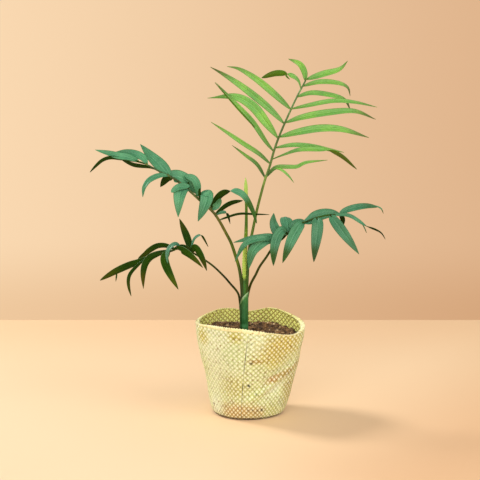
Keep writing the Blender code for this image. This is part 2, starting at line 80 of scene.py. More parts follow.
class Piece:
    """A new piece under work: it starts as a primitive and is shaped by operators.

    Attributes:
        shape: The mesh object.
    """

    def __init__(self, name: str, add: Callable[..., object], **settings: object) -> None:
        """Add a primitive.

        Args:
            name: The piece's name.
            add: A primitive operator.
            settings: What the operator is given.
        """
        bpy.ops.object.select_all(action="DESELECT")
        add(**settings)
        self.shape: bpy.types.Object = bpy.context.active_object
        self.shape.name = self.shape.data.name = name
        bpy.ops.object.transform_apply(location=True, rotation=True, scale=True)

    @classmethod
    def from_mesh(cls, name: str, mesh: bpy.types.Mesh) -> Piece:
        """Start from a mesh that already has its place.

        Args:
            name: The piece's name.
            mesh: The mesh, which becomes the piece's own.

        Returns:
            The piece.
        """
        piece = cls.__new__(cls)
        piece.shape = linked(name, mesh)
        mesh.name = name
        return piece

    def activate(self) -> None:
        """Select this piece alone."""
        bpy.ops.object.select_all(action="DESELECT")
        self.shape.select_set(True)
        bpy.context.view_layer.objects.active = self.shape

    @contextmanager
    def editing(self, selection: str = "DESELECT") -> Iterator[None]:
        """Edit mode on this piece, with nothing selected, or all of it for "SELECT"."""
        self.activate()
        bpy.ops.object.mode_set(mode="EDIT")
        bpy.ops.mesh.select_mode(type="VERT")
        bpy.ops.mesh.select_all(action=selection)
        yield
        bpy.ops.object.mode_set(mode="OBJECT")

    def shift(self, x: float = 0.0, y: float = 0.0, z: float = 0.0) -> None:
        """Move, in edit mode, what is selected."""
        bpy.ops.transform.translate(value=(x, y, z))

    def scale(self, x: float, y: float, z: float, centre: tuple = (0, 0, 0)) -> None:
        """Scale, in edit mode, what is selected."""
        bpy.ops.transform.resize(value=(x, y, z), center_override=centre)

    def extrude(self, *offset: float) -> None:
        """Extrude, in edit mode, what is selected."""
        bpy.ops.mesh.extrude_region_move(TRANSFORM_OT_translate={"value": offset})

    def extrude_ring(self, step: float, radii: Sequence[float]) -> None:
        """Extrude, in edit mode, a ring at X = 0 in steps along +X, to the radius of each step."""
        for i, (before, after) in enumerate(zip(radii, radii[1:]), 1):
            self.extrude(step, 0, 0)
            self.scale(1, after / before, after / before, (step * i, 0, 0))

    def face_outward(self) -> None:
        """Turn, in edit mode, every face outward."""
        bpy.ops.mesh.select_all(action="SELECT")
        bpy.ops.mesh.normals_make_consistent(inside=False)

    def pick(self, test: Callable[[Vector], bool]) -> None:
        """Select, in edit mode, just the vertices at places that pass a test."""
        cage = bmesh.from_edit_mesh(self.shape.data)
        for vertex in cage.verts:
            vertex.select = test(vertex.co)
        cage.select_flush_mode()
        bmesh.update_edit_mesh(self.shape.data, loop_triangles=False, destructive=False)

    def pick_faces(self, test: Callable[[bmesh.types.BMFace], bool]) -> None:
        """Select, in edit mode, just the faces that pass a test."""
        bpy.ops.mesh.select_mode(type="FACE")
        cage = bmesh.from_edit_mesh(self.shape.data)
        for face in cage.faces:
            face.select_set(test(face))
        cage.select_flush_mode()
        bmesh.update_edit_mesh(self.shape.data, loop_triangles=False, destructive=False)

    def cut_away(self, test: Callable[[bmesh.types.BMFace], bool]) -> None:
        """Delete the faces that pass a test."""
        with self.editing():
            self.pick_faces(test)
            bpy.ops.mesh.delete(type="FACE")

    def modify(self, kind: str, **settings: object) -> None:
        """Add a modifier and apply it.

        Args:
            kind: The modifier's type.
            settings: Its properties.
        """
        self.activate()
        modifier = self.shape.modifiers.new(kind.lower(), kind)
        for key, value in settings.items():
            setattr(modifier, key, value)
        bpy.ops.object.modifier_apply(modifier=modifier.name)

    def smooth_out(self) -> None:
        """Round the piece by subdivision."""
        self.modify("SUBSURF", levels=1, render_levels=1)

    def repeat(self, count: int, **settings: object) -> None:
        """Make a row of copies along +X, one unit apart.

        Args:
            count: How many pieces the row has.
            settings: More properties of the Array modifier.
        """
        self.modify("ARRAY", count=count, use_relative_offset=False, use_constant_offset=True,
                    constant_offset_displace=(1, 0, 0), **settings)

    def put(self, place: Callable[[Vector], Vector]) -> None:
        """Move every vertex to where `place` sends it, for a form that no operator makes."""
        for vertex in self.shape.data.vertices:
            vertex.co = place(vertex.co.copy())

    def note(self, name: str, value: Callable[[Vector], float]) -> None:
        """Keep a number per vertex as an attribute that the finish reads."""
        data = self.shape.data
        layer = data.attributes.new(name, "FLOAT", "POINT").data
        for vertex, item in zip(data.vertices, layer):
            item.value = value(vertex.co)

    def tint(self, name: str, value: Callable[[Vector], Colour]) -> None:
        """Keep a colour per vertex as an attribute that the finish reads."""
        data = self.shape.data
        layer = data.attributes.new(name, "FLOAT_COLOR", "POINT").data
        for vertex, item in zip(data.vertices, layer):
            item.color = (*value(vertex.co), 1.0)

    def wear(self, *finishes: bpy.types.Material) -> None:
        """Fill the material slots."""
        self.shape.data.materials.clear()
        for finish in finishes:
            self.shape.data.materials.append(finish)

    def absorb(self, others: Sequence[Piece]) -> None:
        """Join other pieces into this one."""
        self.activate()
        for other in others:
            other.shape.select_set(True)
        bpy.ops.object.join()

    def hand_over(self, slot: str, *nodes: str, sharp: float = 60) -> None:
        """Finish the piece: smooth shading, its body and the nodes that it stands for.

        Args:
            slot: The record's material slot; not used.
            nodes: CAD nodes that the piece replaces.
            sharp: Degrees between faces past which an edge stays sharp.
        """
        self.activate()
        bpy.ops.object.shade_smooth_by_angle(angle=math.radians(sharp))
        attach(self.shape, "root")
        if nodes:
            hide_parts(*nodes)
        self.shape.select_set(False)
        LOG.info("%s: %d faces", self.shape.name, len(self.shape.data.polygons))


def catmull_rom(points: Sequence[Vector], steps: int = 12) -> list[Vector]:
    """Points along a smooth curve through `points`.

    Args:
        points: The points that the curve passes.
        steps: Points per span.

    Returns:
        The curve as a dense polyline.
    """
    ends = [2 * points[0] - points[1], *points, 2 * points[-1] - points[-2]]
    curve = []
    for a, b, c, d in zip(ends, ends[1:], ends[2:], ends[3:]):
        for step in range(steps):
            t = step / steps
            curve.append(0.5 * (2 * b + (c - a) * t + (2 * a - 5 * b + 4 * c - d) * t ** 2
                                + (3 * b - a - 3 * c + d) * t ** 3))
    curve.append(points[-1].copy())
    return curve


def spaced(points: Sequence[Vector], steps: int) -> list[Vector]:
    """`steps` + 1 evenly spaced points on the smooth curve through `points`."""
    curve = catmull_rom(points)
    lengths = [0.0]
    for a, b in zip(curve, curve[1:]):
        lengths.append(lengths[-1] + (b - a).length)
    result, index = [], 0
    for step in range(steps + 1):
        target = lengths[-1] * step / steps
        while index < len(lengths) - 2 and lengths[index + 1] < target:
            index += 1
        span = lengths[index + 1] - lengths[index]
        result.append(curve[index].lerp(curve[index + 1], (target - lengths[index]) / span))
    return result


def path_length(points: Sequence[Vector]) -> float:
    """The length of a polyline."""
    return sum((b - a).length for a, b in zip(points, points[1:]))


def bend(piece: Piece, points: Sequence[Vector], uppers: Sequence[Vector] | None = None) -> None:
    """Bend a piece that lies along +X from the origin onto a path, by a Curve modifier.

    Args:
        piece: The straight piece, with +Z as its upper side.
        points: The path.
        uppers: Which way the upper side looks at each point, or None for plainly up.
    """
    path = bpy.data.curves.new("bending_path", "CURVE")
    path.dimensions, path.twist_mode, path.use_path = "3D", "Z_UP", True
    spline = path.splines.new("POLY")
    spline.points.add(len(points) - 1)
    last_tilt = 0.0
    for i, (control, point) in enumerate(zip(spline.points, points)):
        control.co = (*point, 1.0)
        if uppers is None:
            continue
        before, after = points[max(0, i - 1)], points[min(len(points) - 1, i + 1)]
        along = ((after - point).normalized() + (point - before).normalized()).normalized()
        plain = along.cross(Vector((0, 0, 1)).cross(along)).normalized()
        wanted = (uppers[i] - uppers[i].dot(along) * along).normalized()
        tilt = math.atan2(along.dot(plain.cross(wanted)), plain.dot(wanted))
        last_tilt += math.remainder(tilt - last_tilt, math.tau)
        control.tilt = last_tilt
    guide = linked("bending_path", path)
    piece.modify("CURVE", object=guide, deform_axis="POS_X")
    bpy.data.objects.remove(guide, do_unlink=True)
    bpy.data.curves.remove(path)


def stalk(name: str, points: Sequence[Vector], radii: Sequence[float], sides: int = 12,
          groove: float = 0.0, flat: float = 1.0, uppers: Sequence[Vector] | None = None) -> Piece:
    """A closed round stalk: a ring extruded step by step, then bent onto its path.

    Args:
        name: The piece's name.
        points: Evenly spaced points of its axis.
        radii: The radius at each point.
        sides: Vertices in the ring.
        groove: Depth of the channel along the upper side, as a share of the radius.
        flat: Thickness across the upper side, as a share of the width.
        uppers: Which way the upper side looks at each point.

    Returns:
        The piece, with its share of the length as the attribute `along`.
    """
    length = path_length(points)
    piece = Piece(name, bpy.ops.mesh.primitive_circle_add, vertices=sides, radius=radii[0],
                  rotation=(0, math.pi / 2, 0))
    with piece.editing("SELECT"):
        piece.extrude_ring(length / (len(points) - 1), radii)
        bpy.ops.mesh.edge_face_add()
        piece.pick(lambda co: co.x < EPSILON)
        bpy.ops.mesh.edge_face_add()
        piece.face_outward()
        if flat != 1.0:
            piece.scale(1, 1, flat)
    if groove:
        def channel(co: Vector) -> Vector:
            """Press the upper side of the ring in towards the axis."""
            across = math.hypot(co.y, co.z)
            upward = max(0.0, co.z / across - GROOVE_EDGE) / (1 - GROOVE_EDGE) if across > EPSILON else 0.0
            co.z -= groove * across * upward
            return co

        piece.put(channel)
    piece.note("along", lambda co: co.x / length)
    bend(piece, points, uppers)
    return piece


# --- finishes ------------------------------------------------------------------------------------

def hexed(code: str) -> Colour:
    """A colour written as six hex digits, in linear light."""
    def linear(value: float) -> float:
        """One channel in linear light."""
        return value / 12.92 if value <= 0.04045 else ((value + 0.055) / 1.055) ** 2.4

    return tuple(linear(int(code[i:i + 2], 16) / 255) for i in (0, 2, 4))


def blended(low: Colour, high: Colour, share: float) -> Colour:
    """A colour between two."""
    return tuple(a + (b - a) * share for a, b in zip(low, high))


class NodePen:
    """Adds and links the nodes of one tree. A colour may be given as six hex digits."""

    def __init__(self, tree: bpy.types.NodeTree) -> None:
        """Work on a tree."""
        self.tree = tree

    def give(self, socket: bpy.types.NodeSocket, value: object) -> None:
        """Link an input to a socket, or set its value."""
        if isinstance(value, bpy.types.NodeSocket):
            self.tree.links.new(value, socket)
        elif socket.type == "RGBA":
            socket.default_value = (*(hexed(value) if isinstance(value, str) else value), 1.0)
        else:
            socket.default_value = value

    def add(self, kind: str, inputs: dict | None = None, **settings: object) -> bpy.types.Node:
        """Add a node.

        Args:
            kind: The node's type, without its ShaderNode prefix.
            inputs: Values or sockets by input name or number.
            settings: Properties of the node.

        Returns:
            The node.
        """
        node = self.tree.nodes.new(kind if kind.startswith("Node") else "ShaderNode" + kind)
        for key, value in settings.items():
            setattr(node, key, value)
        for socket, value in (inputs or {}).items():
            self.give(node.inputs[socket], value)
        return node

    def math(self, operation: str, *values: object) -> bpy.types.NodeSocket:
        """A Math node's result."""
        return self.add("Math", dict(enumerate(values)), operation=operation).outputs[0]

    def times(self, first: object, *others: object) -> bpy.types.NodeSocket:
        """A product."""
        for other in others:
            first = self.math("MULTIPLY", first, other)
        return first

    def plus(self, value: object, share: object, rest: object) -> bpy.types.NodeSocket:
        """A value times a share, plus the rest."""
        return self.math("MULTIPLY_ADD", value, share, rest)

    def off_middle(self, across: object) -> bpy.types.NodeSocket:
        """How far a place from 0 to 1 lies off the middle, as a share of the way to an edge."""
        return self.math("ABSOLUTE", self.plus(across, 2.0, -1.0))

    def ease(self, value: object, low: float, high: float, start: float = 0.0,
             end: float = 1.0) -> bpy.types.NodeSocket:
        """A smooth step of a value from `start` at `low` to `end` at `high`."""
        node = self.add("MapRange", {"Value": value, "From Min": low, "From Max": high,
                                     "To Min": start, "To Max": end}, interpolation_type="SMOOTHSTEP")
        return node.outputs["Result"]

    def mix(self, share: object, low: object, high: object, how: str = "MIX") -> bpy.types.NodeSocket:
        """A colour mixed from two."""
        return self.add("Mix", {0: share, 6: low, 7: high}, data_type="RGBA", blend_type=how).outputs[2]

    def layered(self, colour: object, *layers: tuple[object, object]) -> bpy.types.NodeSocket:
        """A colour with others laid over it, each given by its mask and its colour."""
        for mask, shade in layers:
            colour = self.mix(mask, colour, shade)
        return colour

    def dyed(self, mask: object, colour: object, dye: str) -> bpy.types.NodeSocket:
        """A colour that is multiplied with a dye where a mask says so."""
        return self.mix(mask, colour, self.mix(1.0, colour, dye, "MULTIPLY"))

    def attribute(self, name: str, output: str = "Fac") -> bpy.types.NodeSocket:
        """What the mesh keeps under a name."""
        return self.add("Attribute", attribute_name=name, attribute_type="GEOMETRY").outputs[output]

    def place(self) -> bpy.types.NodeSocket:
        """The piece's own coordinates."""
        return self.add("TexCoord").outputs["Object"]

    def map(self) -> bpy.types.NodeSocket:
        """The piece's map: along it in X, and across it in Y."""
        return self.add("UVMap", uv_map="UVMap").outputs[0]

    def split(self, vector: object) -> bpy.types.NodeOutputs:
        """A vector's parts, by the names X, Y and Z."""
        return self.add("SeparateXYZ", {"Vector": vector}).outputs

    def noise(self, vector: object, detail: float, roughness: float = 0.6) -> bpy.types.NodeSocket:
        """Noise around one half."""
        return self.add("TexNoise", {"Vector": vector, "Scale": 1.0, "Detail": detail,
                                     "Roughness": roughness}).outputs["Fac"]

    def drawn_out(self, along: object, along_scale: float, across: object, across_scale: float,
                  detail: float = 3.0) -> bpy.types.NodeSocket:
        """Noise over a flat map, at a scale of its own along and across it."""
        flat = self.add("CombineXYZ", {"X": self.times(along, along_scale),
                                       "Y": self.times(across, across_scale)})
        return self.noise(flat.outputs[0], detail)

    def scaled_noise(self, vector: object, scale: object, detail: float,
                     roughness: float) -> bpy.types.NodeSocket:
        """Noise at a scale that may be a socket."""
        scaled = self.add("VectorMath", {0: vector, "Scale": scale}, operation="SCALE")
        return self.noise(scaled.outputs[0], detail, roughness)


def shared_effect(pen: NodePen, name: str, inputs: dict, outputs: Sequence[str],
                  fill: Callable[[NodePen, bpy.types.NodeOutputs], dict]) -> bpy.types.NodeOutputs:
    """A node group that several finishes use: built once, and placed in a finish.

    Args:
        pen: The finish's pen.
        name: The group's name.
        inputs: What each input is given: a number, or a vector's socket.
        outputs: Names of the float outputs.
        fill: Makes the nodes and returns what each output gets.

    Returns:
        The placed group's outputs.
    """
    group = bpy.data.node_groups.get(name)
    if group is None:
        group = bpy.data.node_groups.new(name, "ShaderNodeTree")
        for label, value in inputs.items():
            kind = "Vector" if isinstance(value, bpy.types.NodeSocket) else "Float"
            group.interface.new_socket(label, in_out="INPUT", socket_type=f"NodeSocket{kind}")
        for label in outputs:
            group.interface.new_socket(label, in_out="OUTPUT", socket_type="NodeSocketFloat")
        inner = NodePen(group)
        inner.add("NodeGroupOutput", fill(inner, inner.add("NodeGroupInput").outputs))
    node = pen.add("Group", node_tree=group)
    for label, value in inputs.items():
        pen.give(node.inputs[label], value)
    return node.outputs


def fill_veins(pen: NodePen, source: bpy.types.NodeOutputs) -> dict:
    """Midrib, ribs, streaks and relief of a blade whose map runs along X and across Y."""
    place = pen.split(source["Map"])
    along, across = place["X"], place["Y"]
    side = pen.off_middle(across)
    midrib = pen.ease(side, 0.0, 0.16, 1.0, 0.0)
    turns = pen.times(side, source["Ribs"], math.tau)
    rib = pen.math("POWER", pen.plus(pen.math("COSINE", turns), 0.5, 0.5), 3.0)
    streak = pen.drawn_out(along, 3.0, across, 26.0)
    crease = pen.drawn_out(along, 46.0, across, 4.0, 2.0)
    relief = pen.plus(crease, 0.3, pen.plus(streak, 0.5, pen.plus(rib, 0.45, pen.times(midrib, -0.9))))
    return {"Midrib": midrib, "Rib": rib, "Streak": streak, "Crease": crease,
            "Edge": pen.ease(side, 0.72, 1.0), "Relief": relief}


def fill_grain(pen: NodePen, source: bpy.types.NodeOutputs) -> dict:
    """Broad mottling and fine grain over a surface."""
    broad = pen.scaled_noise(source["Place"], source["Broad"], 3.0, 0.6)
    fine = pen.scaled_noise(source["Place"], source["Fine"], 4.0, 0.7)
    return {"Broad": broad, "Fine": fine, "Relief": pen.plus(broad, 0.5, pen.times(fine, 0.5))}


def veins(pen: NodePen, ribs: float) -> bpy.types.NodeOutputs:
    """The vein effect, placed in a finish."""
    return shared_effect(pen, "blade_veins", {"Map": pen.map(), "Ribs": ribs},
                         ("Midrib", "Rib", "Streak", "Crease", "Edge", "Relief"), fill_veins)


def grain(pen: NodePen, broad: float, fine: float, stretch: tuple = (1.0, 1.0, 1.0)) -> bpy.types.NodeOutputs:
    """The grain effect, placed in a finish on the piece's own coordinates.

    Args:
        pen: The finish's pen.
        broad: Scale of the mottling, per metre.
        fine: Scale of the grain, per metre.
        stretch: Scale of the coordinates along each axis.

    Returns:
        The group's outputs.
    """
    place = pen.add("Mapping", {"Vector": pen.place(), "Scale": stretch}).outputs["Vector"]
    return shared_effect(pen, "grain", {"Place": place, "Broad": broad, "Fine": fine},
                         ("Broad", "Fine", "Relief"), fill_grain)


def start_finish(name: str) -> tuple[bpy.types.Material, NodePen, bpy.types.Node]:
    """A new material with a Principled shader.

    Args:
        name: The material's name.

    Returns:
        The material, its pen and its shader.
    """
    material = bpy.data.materials.new(name)
    material.use_nodes = True
    return material, NodePen(material.node_tree), material.node_tree.nodes["Principled BSDF"]


def plug(pen: NodePen, shader: bpy.types.Node, colour: object, roughness: object, relief: object,
         depth: float, strength: float = 1.0, **constants: object) -> None:
    """Link a finish's colour, roughness and relief to its shader.

    Args:
        pen: The finish's pen.
        shader: Its Principled shader.
        colour: Socket for the base colour.
        roughness: Socket for the roughness.
        relief: Socket for the height.
        depth: The height's reach, in millimetres.
        strength: How much of the relief shows.
        constants: Plain values of other inputs, by name, with _ for each space.
    """
    bump = pen.add("Bump", {"Height": relief, "Distance": depth * MM, "Strength": strength})
    for label, value in {"Base_Color": colour, "Roughness": roughness, "Normal": bump.outputs[0],
                         **constants}.items():
        pen.give(shader.inputs[label.replace("_", " ")], value)


@dataclass(frozen=True)
class LeafFinish:
    """One side of a frond's blades."""
    name: str
    base: str
    deep: str
    pale: str
    foot: str
    tip: str
    roughness: float = 0.42
    shine: float = 0.5
    tip_start: float = 0.52

    RIBS = 2.5                           # on each side of the midrib
    FOOT_REACH = 0.35
    TIP_REACH = 0.28

    def material(self) -> bpy.types.Material:
        """Make the material."""
        material, pen, shader = start_finish(self.name)
        vein, speck = veins(pen, self.RIBS), grain(pen, 45.0, 700.0)
        along = pen.split(pen.map())["X"]
        tip_age_and_shade = pen.ease(along, self.tip_start, self.tip_start + self.TIP_REACH)
        colour = pen.layered(
            pen.mix(pen.ease(speck["Broad"], 0.3, 0.7), self.deep, self.base),
            (pen.ease(along, 0.0, self.FOOT_REACH, 0.8, 0.0), self.foot),
            (pen.ease(vein["Streak"], 0.4, 0.75, 0.0, 0.4), self.pale),
            (pen.times(vein["Rib"], 0.18), self.pale),
            (pen.ease(vein["Crease"], 0.5, 0.75, 0.0, 0.3), self.deep),
            (pen.times(vein["Midrib"], 0.2), self.pale),
            # darker at the margins: partly the margin's own colour, partly painted shade on the edges;
            # towards the tip, partly withering and partly painted shade where it turns away
            (pen.times(vein["Edge"], 0.45), self.tip),
            (pen.times(tip_age_and_shade, pen.attribute("tip_age_and_shade")), self.tip))
        colour = pen.add("HueSaturation", {"Color": colour, "Value": pen.attribute("tone")}).outputs[0]
        rough = pen.ease(speck["Fine"], 0.3, 0.7, self.roughness - 0.06, self.roughness + 0.1)
        plug(pen, shader, colour, rough, vein["Relief"], 0.22, 0.6, Specular_IOR_Level=self.shine)
        return material


@dataclass(frozen=True)
class StalkFinish:
    """A petiole, stem or sheath, with its colours from the foot to the tip."""
    name: str
    shades: tuple                        # share of the way up and colour: the foot, the tip, then the rest
    scar: str
    streaks: float = 1.0
    shine: float = 0.3
    relief: float = 0.3                  # of its fibres, in millimetres

    def material(self) -> bpy.types.Material:
        """Make the material."""
        material, pen, shader = start_finish(self.name)
        fibre, spots = grain(pen, 90.0, 1400.0, (1.0, 1.0, 0.12)), grain(pen, 260.0, 900.0)
        ramp = pen.add("ValToRGB", {"Fac": pen.attribute("along")})
        elements = ramp.color_ramp.elements
        for i, (place, code) in enumerate(self.shades):
            element = elements[i] if i < 2 else elements.new(place)
            element.position, element.color = place, (*hexed(code), 1.0)
        colour = pen.dyed(pen.ease(fibre["Broad"], 0.42, 0.6, 0.0, 0.75 * self.streaks),
                          ramp.outputs["Color"], "788c48")
        colour = pen.dyed(pen.ease(fibre["Fine"], 0.4, 0.7, 0.0, 0.8 * self.streaks), colour, "b8c890")
        colour = pen.mix(pen.ease(spots["Broad"], 0.62, 0.72, 0.0, 0.55), colour, self.scar)
        plug(pen, shader, colour, pen.ease(fibre["Broad"], 0.3, 0.7, 0.37, 0.54), fibre["Relief"],
             self.relief, 0.6, Specular_IOR_Level=self.shine)
        return material


@dataclass(frozen=True)
class StripFinish:
    """The planter's palm strips: each crossing a pale pad, partly painted highlight on its crest, between
    edges in the wall's own tint that are partly painted shade where the strips dip under one another.
    """
    name: str
    pad: str
    edge: str
    paleness: float                      # how far a pad fades from the tint to the pad's colour
    start: float = 0.35                  # how near to a crossing its pad starts; low for a broad pad
    glow: float = 0.4                    # how much light passes into a strip

    def material(self) -> bpy.types.Material:
        """Make the material."""
        material, pen, shader = start_finish(self.name)
        fibre, spots = grain(pen, 45.0, 1500.0), grain(pen, 300.0, 900.0)
        tint, crossing = pen.attribute("tint", "Color"), pen.attribute("crossing")
        across = pen.split(pen.map())["Y"]
        swing = pen.math("ABSOLUTE", pen.math("COSINE", pen.times(crossing, math.pi)))
        # the pad is partly a painted highlight on each crossing's crest; the edges around it are partly
        # painted shade where the strips dip under one another
        pad = pen.times(pen.ease(swing, self.start, self.start + 0.6),
                        pen.ease(pen.off_middle(across), 0.6 - self.start, 0.9, 1.0, 0.0))
        streak = pen.drawn_out(crossing, 0.6, across, 9.0)
        light = pen.add("RGBToBW", {"Color": tint}).outputs[0]
        crest = pen.mix(pen.ease(light, 0.06, 0.3, 0.0, self.paleness), tint, self.pad)
        edge = pen.dyed(pen.ease(spots["Broad"], 0.52, 0.66, 0.0, 0.7),
                        pen.mix(1.0, tint, self.edge, "MULTIPLY"), "b89c60")
        colour = pen.layered(edge, (pad, crest), (pen.ease(streak, 0.45, 0.75, 0.0, 0.4), edge),
                             (pen.ease(fibre["Broad"], 0.5, 0.75, 0.0, 0.3), edge),
                             # the seam's dark line is painted shadow in its crease
                             (self.seam_shadow_mask(pen, fibre), SEAM_SHADOW_COLOUR))
        relief = pen.plus(streak, 0.7, pen.times(fibre["Fine"], 0.3))
        plug(pen, shader, colour, pen.ease(streak, 0.3, 0.7, 0.5, 0.68), relief, 0.25, 0.8,
             Subsurface_Weight=self.glow, Subsurface_Radius=(1.0, 0.95, 0.7),
             Subsurface_Scale=1.2 * MM)
        return material

    @staticmethod
    def seam_shadow_mask(pen: NodePen, fibre: bpy.types.NodeOutputs) -> bpy.types.NodeSocket:
        """The painted shadow in the crease of the front seam, broken up and fainter towards its top.

        Args:
            pen: The finish's pen.
            fibre: Its grain.

        Returns:
            The mask.
        """
        place = pen.split(pen.place())
        height = pen.math("DIVIDE", place["Z"], MM)
        line = pen.plus(pen.plus(height, SEAM_CURVE, SEAM_SLOPE), height, SEAM_FOOT)
        off = pen.math("ABSOLUTE", pen.math("SUBTRACT", pen.math("DIVIDE", place["X"], MM), line))
        return pen.times(pen.math("LESS_THAN", place["Y"], SEAM_Y * MM),
                         pen.math("LESS_THAN", height, SEAM_TOP), pen.ease(off, 0.25, 0.75, 0.9, 0.0),
                         pen.ease(fibre["Broad"], 0.35, 0.6, 0.3, 1.0),
                         pen.ease(height, 72.0, 96.0, 1.0, 0.35))


@dataclass(frozen=True)
class EarthFinish:
    """Soil, its crumbs, or the chips in it."""
    name: str
    dark: str
    light: str
    roughness: float = 0.9

    def material(self) -> bpy.types.Material:
        """Make the material."""
        material, pen, shader = start_finish(self.name)
        dirt = grain(pen, 160.0, 1600.0)
        colour = pen.mix(pen.ease(dirt["Broad"], 0.35, 0.68), self.dark, self.light)
        colour = pen.dyed(pen.ease(dirt["Fine"], 0.4, 0.7, 0.0, 0.8), colour, "907868")
        rough = pen.ease(dirt["Fine"], 0.3, 0.7, self.roughness - 0.15, self.roughness)
        plug(pen, shader, colour, rough, dirt["Relief"], 0.6)
        return material


# --- planter -------------------------------------------------------------------------------------

SEAM_FOOT, SEAM_SLOPE, SEAM_CURVE = -8.0, 0.02, 0.00055   # x of the front seam over its height, mm
SEAM_TOP, SEAM_Y = 104.0, -30.0          # it ends here, and is only in front of this, mm
# painted shadow in the crease of the front seam
SEAM_SHADOW_COLOUR = "4a4220"


def smooth_lookup(pairs: Sequence[tuple[float, float]], value: float) -> float:
    """Read a table of (place, value) pairs, eased between its rows."""
    if value <= pairs[0][0]:
        return pairs[0][1]
    rows = [pairs[0], *pairs, pairs[-1]]
    for before, low, high, after in zip(rows, rows[1:], rows[2:], rows[3:]):
        if value <= high[0]:
            span = high[0] - low[0]
            t = (value - low[0]) / span
            slope_low = (high[1] - before[1]) / (high[0] - before[0]) * span
            slope_high = (after[1] - low[1]) / (after[0] - low[0]) * span
            return ((2 * t ** 3 - 3 * t ** 2 + 1) * low[1] + (t ** 3 - 2 * t ** 2 + t) * slope_low
                    + (3 * t ** 2 - 2 * t ** 3) * high[1] + (t ** 3 - t ** 2) * slope_high)
    return pairs[-1][1]


class Rise(Enum):
    """Which way a family of strips climbs: its angle on the flat plait, and where it is on top."""
    RIGHT = (math.radians(45), 1)
    LEFT = (math.radians(135), -1)


@dataclass(frozen=True)
class Patch:
    """A stretch of the planter's wall with a colour laid over it.

    Attributes:
        angle: Its middle's angle around the planter, in degrees.
        height: Its middle's height, in millimetres.
        long: Half its length.
        wide: Half its width.
        colour: Its colour.
        tilt: How steeply its length climbs, in degrees.
        strength: How much of its colour shows.
        ragged: How ragged its outline is.
    """
    angle: float
    height: float
    long: float
    wide: float
    colour: str
    tilt: float = 0.0
    strength: float = 0.9
    ragged: float = 0.35

    RADIUS = 55                          # of the wall that its size is measured on

    def share(self, angle: float, height: float, roughness: float) -> float:
        """How much of the patch shows at a place.

        Args:
            angle: The place's angle, in degrees.
            height: Its height, in millimetres.
            roughness: A random value from -1 to 1 for the place.

        Returns:
            A share from 0 to 1.
        """
        off = math.radians(math.remainder(angle - self.angle, 360)) * self.RADIUS
        up = height - self.height
        cosine, sine = math.cos(math.radians(self.tilt)), math.sin(math.radians(self.tilt))
        along, across = (off * cosine + up * sine) / self.long, (up * cosine - off * sine) / self.wide
        return self.strength * clamped(1.5 - math.hypot(along, across) + self.ragged * roughness)


@dataclass
class Plait:
    """Flat plain-woven strips. One unit is the distance between crossings of a row, so a strip
    meets the next crossing after half a unit each way."""
    steps: int = 4                       # quads per crossing
    sway: float = 0.38 * MM              # how far a strip passes over and under
    crown: float = 0.13 * MM
    broad: float = 0.97                  # share of the free width at a crossing, and between two
    narrow: float = 0.79
    thickness: float = 0.34 * MM

    def strips(self, name: str, rise: Rise, low: int, high: int, first: float, count: int) -> Piece:
        """Make a family of parallel strips.

        Args:
            name: The piece's name.
            rise: The family.
            low: The first half crossing of each strip.
            high: The last one.
            first: Where along the row the first strip starts.
            count: The number of strips.

        Returns:
            The flat piece, with X along the rows, Y up them and depth along Z.
        """
        angle, top = rise.value
        rows = (high - low) * self.steps
        piece = Piece(name, bpy.ops.mesh.primitive_grid_add, x_subdivisions=rows, y_subdivisions=3, size=2)
        piece.put(lambda co: Vector((low + (co.x + 1) / 2 * (high - low), co.y, 0)))
        piece.note("crossing", lambda co: co.x)
        with piece.editing():
            for phase in range(2 * self.steps):
                def in_phase(co: Vector, phase: int = phase) -> bool:
                    """Whether a row of the strip has this phase."""
                    return round((co.x - low) * self.steps) % (2 * self.steps) == phase

                swing = math.cos(math.pi * (low + phase / self.steps))
                depth = math.copysign(abs(swing) ** 0.75, swing) * top
                width = self.narrow + (self.broad - self.narrow) * abs(swing)
                piece.pick(in_phase)
                piece.shift(z=self.sway * depth)
                piece.scale(1, width, 1)
                piece.pick(lambda co: in_phase(co) and abs(co.y) > 0.6)
                piece.shift(z=-self.crown * depth)
            bpy.ops.mesh.select_all(action="SELECT")
            diagonal = math.sqrt(0.5)
            piece.scale(diagonal, diagonal / 2, 1)
        piece.shape.rotation_euler.z = angle
        piece.shape.location.x = first
        piece.activate()
        bpy.ops.object.transform_apply(location=True, rotation=True, scale=True)
        piece.repeat(count)
        return piece


